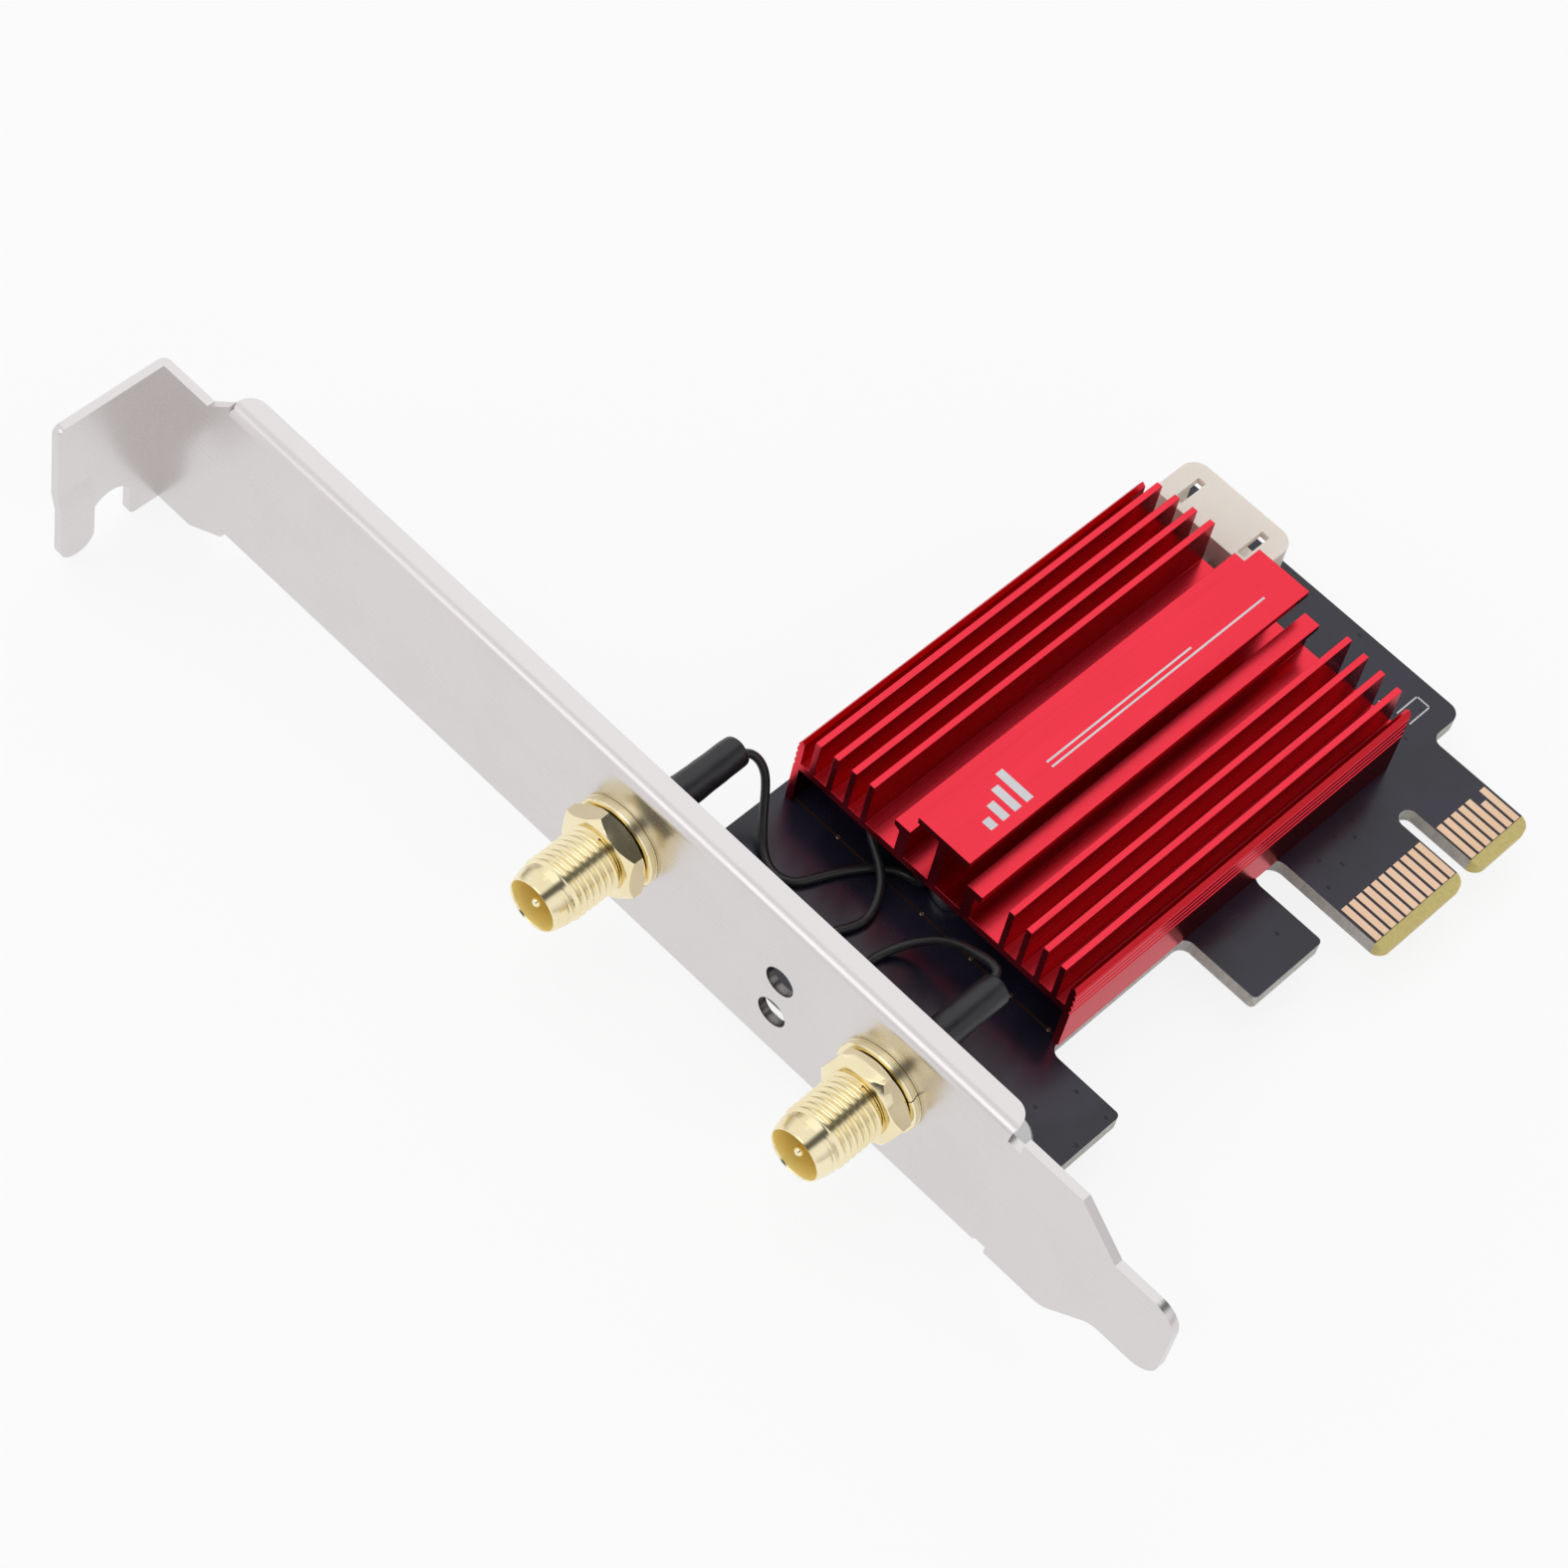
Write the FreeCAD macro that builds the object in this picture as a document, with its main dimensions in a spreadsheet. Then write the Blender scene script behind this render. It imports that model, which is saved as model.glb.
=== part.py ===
import FreeCAD, Part
import math
import os
import Sketcher

# Wireless network card for a one-lane expansion slot.
# Frame: X runs along the card away from the bracket, Y up the bracket towards its screw tab,
# Z out of the component side. The origin is the middle of the key notch on the contact edge,
# in the plane of the component side. In the sketches X is counted from the bracket's outer
# face, and every piece is then moved back by key_from_bracket.

SIZES = [
    # Folded steel bracket
    ("steel_gauge", 0.86),
    ("bracket_length", 120.02),
    ("bracket_rise", 105.9),
    ("run_width", 18.42),
    ("neck_shift", 2.45),
    ("neck_length", 5.0),
    ("high_step", 2.6),
    ("tab_depth", 11.6),
    ("tab_fold_radius", 0.8),
    ("lip_depth", 2.7),
    ("lip_fold_radius", 1.2),
    ("lip_corner_radius", 1.7),
    ("lip_start_drop", 9.05),
    ("lip_end_from_shoulder", 7.8),
    ("relief_width", 1.4),
    ("relief_depth", 1.3),
    ("foot_length", 11.32),
    ("foot_inset", 0.4),
    ("taper_length", 4.6),
    ("shoulder_radius", 2.4),
    ("tongue_width", 9.9),
    ("tongue_corner_radius", 2.5),
    ("screw_slot_width", 4.42),
    ("screw_slot_from_face", 5.6),
    ("screw_slot_depth", 5.4),
    ("ear_rise", 0.3),
    ("ear_end_flat", 0.2),
    ("joggle_top", 4.4),
    ("joggle_length", 1.9),
    ("joggle_step", 0.5),
    ("window_radius", 1.5),
    ("window_pitch", 4.8),
    ("window_height", 3.3),
    ("window_y", 29.15),
    ("fixing_tab_reach", 11.0),
    ("fixing_tab_width", 9.0),
    ("fixing_tab_radius", 2.0),
    ("fixing_hole_from_face", 7.0),
    ("fixing_low_y", 9.1),
    ("fixing_high_y", 41.5),
    # Circuit board
    ("key_from_bracket", 58.6),
    ("board_thickness", 1.6),
    ("board_start", 3.2),
    ("board_end", 71.0),
    ("board_top", 45.6),
    ("board_corner_radius", 0.8),
    ("near_leg_end", 17.0),
    ("recess_y", 12.45),
    ("recess_radius", 1.1),
    ("leg_bottom", 4.25),
    ("leg_corner_radius", 0.5),
    ("middle_leg_start", 34.2),
    ("middle_leg_width", 8.9),
    ("slot_top", 12.95),
    ("slot_radius", 1.55),
    ("edge_left_of_key", 12.15),
    ("edge_right_of_key", 8.15),
    ("edge_corner_radius", 1.0),
    ("far_ledge_y", 11.7),
    ("far_corner_radius", 1.3),
    ("key_width", 1.9),
    ("key_depth", 8.4),
    ("key_radius", 0.9),
    ("bevel_height", 1.1),
    ("bevel_depth", 0.35),
    # Gold edge contacts
    ("contact_pitch", 1.0),
    ("contact_width", 0.7),
    ("contact_gauge", 0.05),
    ("contact_low", 1.15),
    ("contact_high", 5.3),
    ("short_contact_high", 4.3),
    ("first_contact_from_key", 1.5),
    # Finned heatsink
    ("sink_start", 17.85),
    ("sink_length", 43.35),
    ("sink_centre_y", 28.45),
    ("sink_half_width", 16.2),
    ("sink_roof_low", 4.85),
    ("sink_roof_gauge", 0.9),
    ("sink_wall", 0.75),
    ("sink_wall_top", 8.75),
    ("sink_wall_lean", 0.35),
    ("sink_rib_depth", 0.16),
    ("sink_rib_pitch", 0.85),
    ("sink_rib_first", 5.3),
    ("fin_gauge", 0.62),
    ("fin_pitch", 2.03),
    ("first_fin_offset", 8.1),
    ("inner_fin_top", 10.97),
    ("fin_drop", 0.3),
    ("rail_inner", 3.3),
    ("rail_stem", 1.1),
    ("rail_reach", 0.65),
    ("rail_top", 9.55),
    ("rail_gauge", 0.7),
    ("platform_half_width", 2.95),
    ("platform_top", 12.3),
    ("platform_gauge", 0.75),
    ("web_half_width", 0.48),
    ("boss_radius", 2.0),
    ("boss_offset_y", 13.5),
    ("boss_from_end", 7.0),
    ("sink_screw_radius", 1.0),
    ("sink_screw_reach", 3.6),
    ("sink_screw_head_radius", 1.9),
    ("sink_screw_head_height", 1.0),
    ("hole_clearance", 0.1),
    # Antenna jacks
    ("jack_high_y", 47.7),
    ("jack_spacing", 30.4),
    ("jack_height", 7.45),
    ("thread_radius", 3.175),
    ("pitch_radius", 3.05),
    ("jack_reach", 10.15),
    ("thread_end", 8.5),
    ("nose_radius", 2.95),
    ("mouth_radius", 2.6),
    ("mouth_bore_radius", 2.28),
    ("mouth_bore_depth", 5.4),
    ("flange_radius", 4.4),
    ("flange_gauge", 1.9),
    ("rear_barrel_radius", 2.4),
    ("rear_barrel_end", 5.2),
    ("crimp_tail_radius", 1.15),
    ("crimp_tail_end", 9.4),
    ("crimp_bore_radius", 0.45),
    ("washer_radius", 4.4),
    ("washer_gauge", 0.9),
    ("washer_split", 0.3),
    ("nut_across_flats", 7.94),
    ("nut_gauge", 1.85),
    ("nut_chamfer_radius", 4.25),
    ("nut_chamfer_length", 0.35),
    ("insulator_radius", 2.28),
    ("centre_pin_radius", 0.46),
    ("centre_pin_tip", 9.95),
    ("ferrule_gauge", 0.22),
    ("sleeve_gauge", 0.22),
    ("sleeve_end", 13.6),
    ("sleeve_step", 6.6),
    ("sleeve_shoulder", 12.4),
    ("sleeve_tip_radius", 1.45),
    # Coax leads
    ("lead_radius", 0.405),
    # Header for the cable
    ("header_from_sink", 2.1),
    ("header_depth", 5.7),
    ("header_centre_y", 38.05),
    ("header_half_width", 6.2),
    ("header_height", 6.1),
    ("header_wall", 0.8),
    ("header_back_wall", 1.2),
    ("header_corner_radius", 1.7),
    ("header_window_width", 0.9),
    ("header_window_length", 3.5),
    ("header_window_offset", 3.85),
    ("header_window_from_mouth", 1.55),
    ("pin_pitch", 2.5),
    ("pin_width", 0.64),
    ("pin_height", 3.05),
    ("pin_tip_gap", 1.0),
    ("pin_stand_off", 0.8),
    ("pin_tail", 1.3),
    # Wireless module in its socket
    ("module_from_sink_end", 9.0),
    ("module_length", 30.0),
    ("module_width", 22.0),
    ("module_gauge", 0.8),
    ("module_height", 1.45),
    ("module_tongue_length", 3.0),
    ("module_tongue_inset", 1.1),
    ("module_notch_radius", 1.75),
    ("module_screw_radius", 1.0),
    ("module_screw_head_radius", 2.3),
    ("module_screw_head_height", 0.8),
    ("standoff_radius", 2.3),
    ("shield_start", 5.0),
    ("shield_length", 20.0),
    ("shield_width", 19.0),
    ("shield_height", 1.3),
    ("shield_gauge", 0.2),
    ("chip_size", 8.0),
    ("chip_height", 0.9),
    ("socket_depth", 8.7),
    ("socket_width", 22.4),
    ("socket_height", 3.4),
    ("socket_slot_depth", 2.5),
    ("socket_clearance", 0.1),
    ("tail_pitch", 1.0),
    ("tail_width", 0.3),
    ("tail_length", 0.9),
    ("tail_gauge", 0.2),
    ("plug_from_end", 2.4),
    ("plug_high_offset", 8.9),
    ("plug_pitch", 4.4),
    ("plug_radius", 1.1),
    ("plug_height", 0.95),
    ("plug_arm_width", 1.1),
    ("receptacle_side", 2.0),
    ("receptacle_gauge", 0.2),
    ("receptacle_radius", 0.75),
    ("receptacle_height", 0.7),
    ("capacitor_length", 1.6),
    ("capacitor_width", 0.8),
    ("capacitor_from_sink_side", 1.25),
    ("capacitor_from_sink_end", 11.2),
    ("capacitor_pitch", 2.6),
    # Bracket screws
    ("fixing_screw_radius", 1.45),
    ("fixing_head_radius", 2.75),
    ("fixing_head_height", 1.8),
    ("fixing_screw_tip", 0.6),
]

CONTACTS_LEFT = 11
CONTACTS_RIGHT = 7
FINS_PER_SIDE = 4
RIBS_PER_WALL = 4
HEADER_PINS = 4
SOCKET_TAILS = 18
CAPACITORS = 6

# Points of each coax lead, in the part's own frame: out of the sleeve, down to the board,
# along it out of sight behind the bracket's lip, and under the heatsink to its plug.
LEAD_UPPER_POINTS = [
    (-45.00, 47.30, 7.00),
    (-44.40, 47.30, 7.00),
    (-43.82, 46.95, 6.80),
    (-43.42, 46.25, 6.25),
    (-43.42, 45.42, 5.32),
    (-43.80, 44.75, 4.15),
    (-44.40, 44.10, 3.05),
    (-45.10, 43.35, 2.05),
    (-45.85, 42.50, 1.20),
    (-46.60, 41.50, 0.65),
    (-47.25, 40.25, 0.45),
    (-47.30, 38.85, 0.45),
    (-46.55, 37.65, 0.45),
    (-45.20, 37.02, 0.45),
    (-43.78, 36.45, 0.45),
    (-42.46, 35.76, 0.45),
    (-41.25, 35.02, 0.45),
    (-40.15, 34.20, 0.50),
    (-39.22, 33.15, 0.50),
    (-38.72, 31.85, 0.60),
    (-38.85, 30.60, 1.10),
    (-39.20, 30.15, 2.15),
    (-39.15, 30.90, 3.10),
    (-38.65, 32.00, 3.30),
    (-37.55, 32.95, 3.00),
    (-36.40, 32.95, 3.00),
]
LEAD_LOWER_POINTS = [
    (-45.00, 18.00, 7.90),
    (-44.30, 18.00, 7.90),
    (-43.75, 18.50, 7.80),
    (-43.45, 19.38, 7.40),
    (-43.22, 20.60, 6.65),
    (-42.90, 21.85, 5.65),
    (-42.62, 23.00, 4.70),
    (-42.62, 24.15, 3.75),
    (-42.90, 25.25, 2.85),
    (-43.50, 26.25, 2.00),
    (-44.35, 27.10, 1.25),
    (-45.45, 27.75, 0.70),
    (-46.75, 28.15, 0.45),
    (-48.10, 28.12, 0.45),
    (-49.35, 27.92, 0.45),
    (-50.55, 28.12, 0.45),
    (-51.58, 28.95, 0.45),
    (-52.02, 30.30, 0.45),
    (-51.56, 31.73, 0.45),
    (-50.35, 32.55, 0.45),
    (-48.90, 32.65, 0.45),
    (-47.40, 32.15, 0.45),
    (-45.95, 31.45, 0.45),
    (-44.50, 31.15, 0.50),
    (-42.95, 31.60, 0.80),
    (-41.60, 32.45, 1.25),
    (-40.65, 33.60, 1.75),
    (-40.05, 34.85, 2.25),
    (-39.50, 36.02, 2.65),
    (-38.70, 36.95, 2.93),
    (-37.50, 37.35, 3.00),
    (-36.40, 37.35, 3.00),
]
LEAD_ARC_SHARE = 0.45


class Dim:
    """A length with its number and the sheet formula that gives it."""

    def __init__(self, value, formula):
        self.value = value
        self.formula = formula

    def __add__(self, other):
        other = as_dim(other)
        return Dim(self.value + other.value, "(%s + %s)" % (self.formula, other.formula))

    def __sub__(self, other):
        other = as_dim(other)
        return Dim(self.value - other.value, "(%s - %s)" % (self.formula, other.formula))

    def __mul__(self, factor):
        return Dim(self.value * factor, "(%s * %r)" % (self.formula, factor))

    def __truediv__(self, divisor):
        return Dim(self.value / divisor, "(%s / %r)" % (self.formula, divisor))

    def __neg__(self):
        return Dim(-self.value, "(0 - %s)" % self.formula)


def as_dim(number):
    """A plain number as a length of its own."""
    if isinstance(number, Dim):
        return number
    return Dim(float(number), "(%r)" % float(number))


class Sizes:
    """The driving dimensions, each one a cell of the sheet under its own name."""

    def __init__(self, document, rows):
        self.sheet = document.addObject("Spreadsheet::Sheet", "Sizes")
        for row, (name, value) in enumerate(rows, start=1):
            self.sheet.set("A%d" % row, name)
            self.sheet.set("B%d" % row, repr(value))
            self.sheet.setAlias("B%d" % row, name)
            setattr(self, name, Dim(value, "Sizes." + name))


doc = FreeCAD.newDocument("wireless_card")
size = Sizes(doc, SIZES)
doc.recompute()

ZERO = Dim(0.0, "0")
NODES = []


def bind(thing, field, length):
    """Ties one property of an object to its formula in the sheet."""
    thing.setExpression(field, length.formula)


def place(thing, x=ZERO, y=ZERO, z=ZERO):
    """Sets a sub-part in the card's frame from its place behind the bracket's outer face."""
    bind(thing, "Placement.Base.x", x - size.key_from_bracket)
    bind(thing, "Placement.Base.y", y)
    bind(thing, "Placement.Base.z", z)


def new_body(label, x=ZERO, y=ZERO, z=ZERO):
    """A sub-part built from sketches, and its own node."""
    body = doc.addObject("PartDesign::Body", label)
    body.Label = label
    place(body, x, y, z)
    NODES.append(body)
    return body


def origin_plane(body, role):
    """The body's own origin plane with the given role."""
    for feature in body.Origin.OriginFeatures:
        if feature.Role == role:
            return feature
    raise ValueError("no plane " + role)


def hold(sketch, geometry, point, x, y):
    """Holds one point of a sketch by its two coordinates."""
    for direction, axis, length in (("DistanceX", -2, x), ("DistanceY", -1, y)):
        if length.formula == "0":
            sketch.addConstraint(Sketcher.Constraint("PointOnObject", geometry, point, axis))
        else:
            row = sketch.addConstraint(
                Sketcher.Constraint(direction, -1, 1, geometry, point, length.value))
            bind(sketch, "Constraints[%d]" % row, length)


def draw_polygon(sketch, points):
    """A closed outline of straight lines through the points."""
    corners = [FreeCAD.Vector(as_dim(x).value, as_dim(y).value, 0) for x, y in points]
    first = sketch.GeometryCount
    count = len(corners)
    lines = [Part.LineSegment(corners[i], corners[(i + 1) % count]) for i in range(count)]
    sketch.addGeometry(lines, False)
    for i in range(count):
        following = first + (i + 1) % count
        sketch.addConstraint(Sketcher.Constraint("Coincident", first + i, 2, following, 1))
    for i, (x, y) in enumerate(points):
        hold(sketch, first + i, 1, as_dim(x), as_dim(y))


def draw_circle(sketch, x, y, radius):
    """A circle held by its centre and radius."""
    x, y = as_dim(x), as_dim(y)
    centre = FreeCAD.Vector(x.value, y.value, 0)
    circle = sketch.addGeometry(Part.Circle(centre, FreeCAD.Vector(0, 0, 1), radius.value), False)
    hold(sketch, circle, 3, x, y)
    row = sketch.addConstraint(Sketcher.Constraint("Radius", circle, radius.value))
    bind(sketch, "Constraints[%d]" % row, radius)


def new_sketch(body, name, role, level, polygons=(), circles=()):
    """A sketch on one of the body's planes, moved along the plane's normal."""
    sketch = body.newObject("Sketcher::SketchObject", name)
    sketch.AttachmentSupport = [(origin_plane(body, role), "")]
    sketch.MapMode = "FlatFace"
    if level.formula != "0":
        bind(sketch, "AttachmentOffset.Base.z", level)
    for points in polygons:
        draw_polygon(sketch, points)
    for x, y, radius in circles:
        draw_circle(sketch, x, y, radius)
    return sketch


def add_block(body, name, role, low, high, polygons=(), circles=()):
    """Adds a straight block of the outline, from low to high along its plane's axis."""
    level = -high if role == "XZ_Plane" else low
    pad = body.newObject("PartDesign::Pad", name)
    pad.Profile = new_sketch(body, name + "_outline", role, level, polygons, circles)
    bind(pad, "Length", high - low)
    return pad


def cut_block(body, name, role, low, high, polygons=(), circles=()):
    """Cuts a straight hole of the outline, from low to high along its plane's axis."""
    level = -low if role == "XZ_Plane" else high
    doc.recompute()
    before = body.Shape.Volume
    pocket = body.newObject("PartDesign::Pocket", name)
    pocket.Profile = new_sketch(body, name + "_outline", role, level, polygons, circles)
    pocket.Type = 0
    bind(pocket, "Length", high - low)
    doc.recompute()
    if body.Shape.Volume >= before:
        raise ValueError(name + " cuts nothing")
    return pocket


def turn_profile(body, name, points):
    """Turns a profile of (distance along X, radius) about the body's X axis."""
    revolution = body.newObject("PartDesign::Revolution", name)
    profile = new_sketch(body, name + "_profile", "XY_Plane", ZERO, [points])
    revolution.Profile = profile
    revolution.ReferenceAxis = (profile, ["H_Axis"])
    revolution.Angle = 360
    return revolution


def groove_profile(body, name, points):
    """Cuts a turned groove of a profile of (distance along X, radius)."""
    doc.recompute()
    before = body.Shape.Volume
    groove = body.newObject("PartDesign::Groove", name)
    profile = new_sketch(body, name + "_profile", "XY_Plane", ZERO, [points])
    groove.Profile = profile
    groove.ReferenceAxis = (profile, ["H_Axis"])
    groove.Angle = 360
    doc.recompute()
    if body.Shape.Volume >= before:
        raise ValueError(name + " cuts nothing")
    return groove


def straight_edges(shape, axis, spots, span):
    """Names of the straight edges along an axis, at the given spots and within the span."""
    directions = {"X": (1, 2), "Y": (0, 2), "Z": (0, 1)}
    first, second = directions[axis]
    along = "XYZ".index(axis)
    tolerance = 0.01
    names = []
    for number, edge in enumerate(shape.Edges, start=1):
        if not isinstance(edge.Curve, Part.Line):
            continue
        start, end = edge.Vertexes[0].Point, edge.Vertexes[-1].Point
        run = end - start
        if abs(abs(run[along]) - run.Length) > tolerance:
            continue
        middle = (start[along] + end[along]) / 2
        if span and not span[0].value < middle < span[1].value:
            continue
        for a, b in spots:
            near = abs(start[first] - a.value) < tolerance
            if near and abs(start[second] - b.value) < tolerance:
                names.append("Edge%d" % number)
    return names


def round_edges(body, name, axis, spots, radius, span=None):
    """Rounds the straight edges along an axis at the given spots, all of them or in a span."""
    doc.recompute()
    base = body.Tip
    names = straight_edges(base.Shape, axis, [(as_dim(a), as_dim(b)) for a, b in spots], span)
    if not names:
        raise ValueError(name + " finds no edge")
    fillet = body.newObject("PartDesign::Fillet", name)
    fillet.Base = (base, names)
    bind(fillet, "Radius", radius)
    doc.recompute()
    if fillet.Shape.isNull() or "Invalid" in fillet.State:
        raise ValueError(name + " does not round")
    return fillet


def box(name, x, y, z):
    """A plain block between two planes along each axis."""
    block = doc.addObject("Part::Box", name)
    for field, pair in (("Length", x), ("Width", y), ("Height", z)):
        bind(block, field, pair[1] - pair[0])
    for field, pair in (("x", x), ("y", y), ("z", z)):
        bind(block, "Placement.Base." + field, pair[0])
    return block


def rod(name, x, y, low, high, radius):
    """A round rod that stands along Z."""
    cylinder = doc.addObject("Part::Cylinder", name)
    bind(cylinder, "Radius", radius)
    bind(cylinder, "Height", high - low)
    for field, length in (("x", x), ("y", y), ("z", low)):
        bind(cylinder, "Placement.Base." + field, length)
    return cylinder


def join(name, pieces):
    """One solid of several that touch or overlap."""
    fuse = doc.addObject("Part::MultiFuse", name)
    fuse.Shapes = pieces
    fuse.Refine = True
    return fuse


def group(label, pieces):
    """A node that holds like pieces, each one a separate solid."""
    compound = doc.addObject("Part::Compound", label)
    compound.Label = label
    compound.Links = pieces
    place(compound)
    NODES.append(compound)
    return compound


# Levels and lines that several pieces share

board_bottom = -size.board_thickness
bracket_inner = size.steel_gauge
run_low = board_bottom - size.steel_gauge
run_high = run_low + size.run_width
run_middle = run_low + size.run_width / 2
neck_low = run_low - size.neck_shift
neck_high = run_high - size.neck_shift
bracket_end = size.bracket_rise - size.bracket_length
lip_top = size.bracket_rise - size.lip_start_drop
fixing_rows = [size.fixing_low_y, size.fixing_high_y]
jack_rows = {"upper": size.jack_high_y, "lower": size.jack_high_y - size.jack_spacing}
middle_leg_end = size.middle_leg_start + size.middle_leg_width
edge_start = size.key_from_bracket - size.edge_left_of_key
edge_end = size.key_from_bracket + size.edge_right_of_key
sink_end = size.sink_start + size.sink_length
boss_columns = [size.sink_start + size.boss_from_end, sink_end - size.boss_from_end]
boss_rows = [size.sink_centre_y - size.boss_offset_y, size.sink_centre_y + size.boss_offset_y]
module_end = sink_end - size.module_from_sink_end
module_start = module_end - size.module_length
module_top = size.module_height + size.module_gauge
shield_top = module_top + size.shield_height
shield_low_x = module_start + size.shield_start
header_start = sink_end + size.header_from_sink
header_end = header_start + size.header_depth
pin_column = header_start - size.pin_stand_off
pin_rows = [size.header_centre_y + size.pin_pitch * (i - (HEADER_PINS - 1) / 2)
            for i in range(HEADER_PINS)]


def build_bracket():
    """Bracket: face, screw tab with its joggled ear, folded lips and the two fixing tabs."""
    body = new_body("bracket")
    top = size.bracket_rise
    neck_end = top - size.neck_length
    shoulder = bracket_end + size.foot_length
    lip_end = shoulder + size.lip_end_from_shoulder
    relief_low = lip_end - size.relief_width
    relief_in = size.relief_depth
    foot_low = run_low + size.foot_inset
    tongue_start = shoulder - size.taper_length
    tongue_low = run_middle - size.tongue_width / 2
    tongue_high = run_middle + size.tongue_width / 2
    gauge = size.steel_gauge
    channel = [(ZERO, run_low), (size.lip_depth, run_low), (size.lip_depth, run_low + gauge),
               (gauge, run_low + gauge), (gauge, run_high - gauge),
               (size.lip_depth, run_high - gauge), (size.lip_depth, run_high),
               (ZERO, run_high)]
    add_block(body, "channel", "XZ_Plane", lip_end, lip_top, [channel])
    round_edges(body, "lip_corners", "Z",
                [(size.lip_depth, lip_end), (size.lip_depth, lip_top)], size.lip_corner_radius)
    round_edges(body, "lip_folds", "Y", [(ZERO, run_high), (ZERO, run_low)],
                size.lip_fold_radius)
    round_edges(body, "inner_folds", "Y",
                [(gauge, run_high - gauge), (gauge, run_low + gauge)],
                size.lip_fold_radius - gauge)
    neck = [(top, neck_low), (neck_end, neck_low), (lip_top, run_low), (lip_top, run_high),
            (lip_top + size.high_step, neck_high), (top, neck_high)]
    add_block(body, "neck", "YZ_Plane", ZERO, bracket_inner, [neck])
    foot = [(lip_end, run_low + relief_in), (relief_low, run_low + relief_in),
            (relief_low, foot_low), (shoulder, foot_low), (tongue_start, tongue_low),
            (bracket_end, tongue_low), (bracket_end, tongue_high),
            (tongue_start, tongue_high), (shoulder, run_high), (relief_low, run_high),
            (relief_low, run_high - relief_in), (lip_end, run_high - relief_in)]
    add_block(body, "foot", "YZ_Plane", ZERO, bracket_inner, [foot])

    tab = [(-size.tab_depth, neck_low), (bracket_inner, neck_low),
           (bracket_inner, neck_high), (-size.tab_depth, neck_high)]
    add_block(body, "screw_tab", "XZ_Plane", top - size.steel_gauge, top, [tab])
    slot_half = size.screw_slot_width / 2
    slot_near = slot_half - size.screw_slot_from_face
    slot_far = -slot_half - size.screw_slot_from_face
    slot_round = neck_low + size.screw_slot_depth - slot_half
    past = size.steel_gauge
    ear_gap = [(-size.tab_depth - past, neck_low - past), (slot_far, neck_low - past),
               (slot_far, size.joggle_top), (-size.tab_depth - past, size.joggle_top)]
    cut_block(body, "ear_gap", "XZ_Plane", top - size.steel_gauge * 2, top + past, [ear_gap])

    ear_low = neck_low + size.ear_rise
    ear_width = size.tab_depth + slot_far
    under = top - size.steel_gauge
    joggle_low = size.joggle_top - size.joggle_length
    ear = [(top, size.joggle_top), (under, size.joggle_top),
           (under - size.joggle_step, joggle_low), (under - size.joggle_step, ear_low),
           (top - size.joggle_step, ear_low), (top - size.joggle_step, joggle_low)]
    add_block(body, "ear", "YZ_Plane", -size.tab_depth, slot_far, [ear])

    slot = [(slot_far, neck_low - past), (slot_near, neck_low - past),
            (slot_near, slot_round), (slot_far, slot_round)]
    deep = top - size.steel_gauge * 3
    cut_block(body, "screw_slot", "XZ_Plane", deep, top + past, [slot])
    cut_block(body, "screw_slot_end", "XZ_Plane", deep, top + past,
              circles=[(-size.screw_slot_from_face, slot_round, slot_half)])
    round_edges(body, "ear_corners", "Y",
                [(-size.tab_depth, ear_low), (slot_far, ear_low)], (ear_width - size.ear_end_flat) / 2)
    round_edges(body, "tab_corners", "Y",
                [(-size.tab_depth, neck_high), (slot_near, neck_low)], size.tab_fold_radius)

    for name, row in (("low_fixing_tab", fixing_rows[0]), ("high_fixing_tab", fixing_rows[1])):
        half = size.fixing_tab_width / 2
        strip = [(bracket_inner, row - half), (size.fixing_tab_reach, row - half),
                 (size.fixing_tab_reach, row + half), (bracket_inner, row + half)]
        add_block(body, name, "XY_Plane", run_low, board_bottom, [strip])
    round_edges(body, "fixing_tab_corners", "Z",
                [(size.fixing_tab_reach, row + size.fixing_tab_width * side)
                 for row in fixing_rows for side in (-0.5, 0.5)], size.fixing_tab_radius)
    round_edges(body, "tab_fold", "Z", [(bracket_inner, top)], size.tab_fold_radius)
    round_edges(body, "shoulder_corners", "X",
                [(shoulder, foot_low), (tongue_start, tongue_low)], size.shoulder_radius)
    round_edges(body, "tongue_corners", "X",
                [(bracket_end, tongue_low), (bracket_end, tongue_high)],
                size.tongue_corner_radius)

    cut_block(body, "jack_holes", "YZ_Plane", -past, bracket_inner + past,
              circles=[(row, size.jack_height, size.thread_radius + size.hole_clearance)
                       for row in jack_rows.values()])
    cut_block(body, "windows", "YZ_Plane", -past, bracket_inner + past,
              circles=[(size.window_y, size.window_height + size.window_pitch * i,
                        size.window_radius) for i in range(2)])
    cut_block(body, "fixing_holes", "XY_Plane", run_low - past, board_bottom + past,
              circles=[(size.fixing_hole_from_face, row, size.fixing_screw_radius)
                       for row in fixing_rows])


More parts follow.
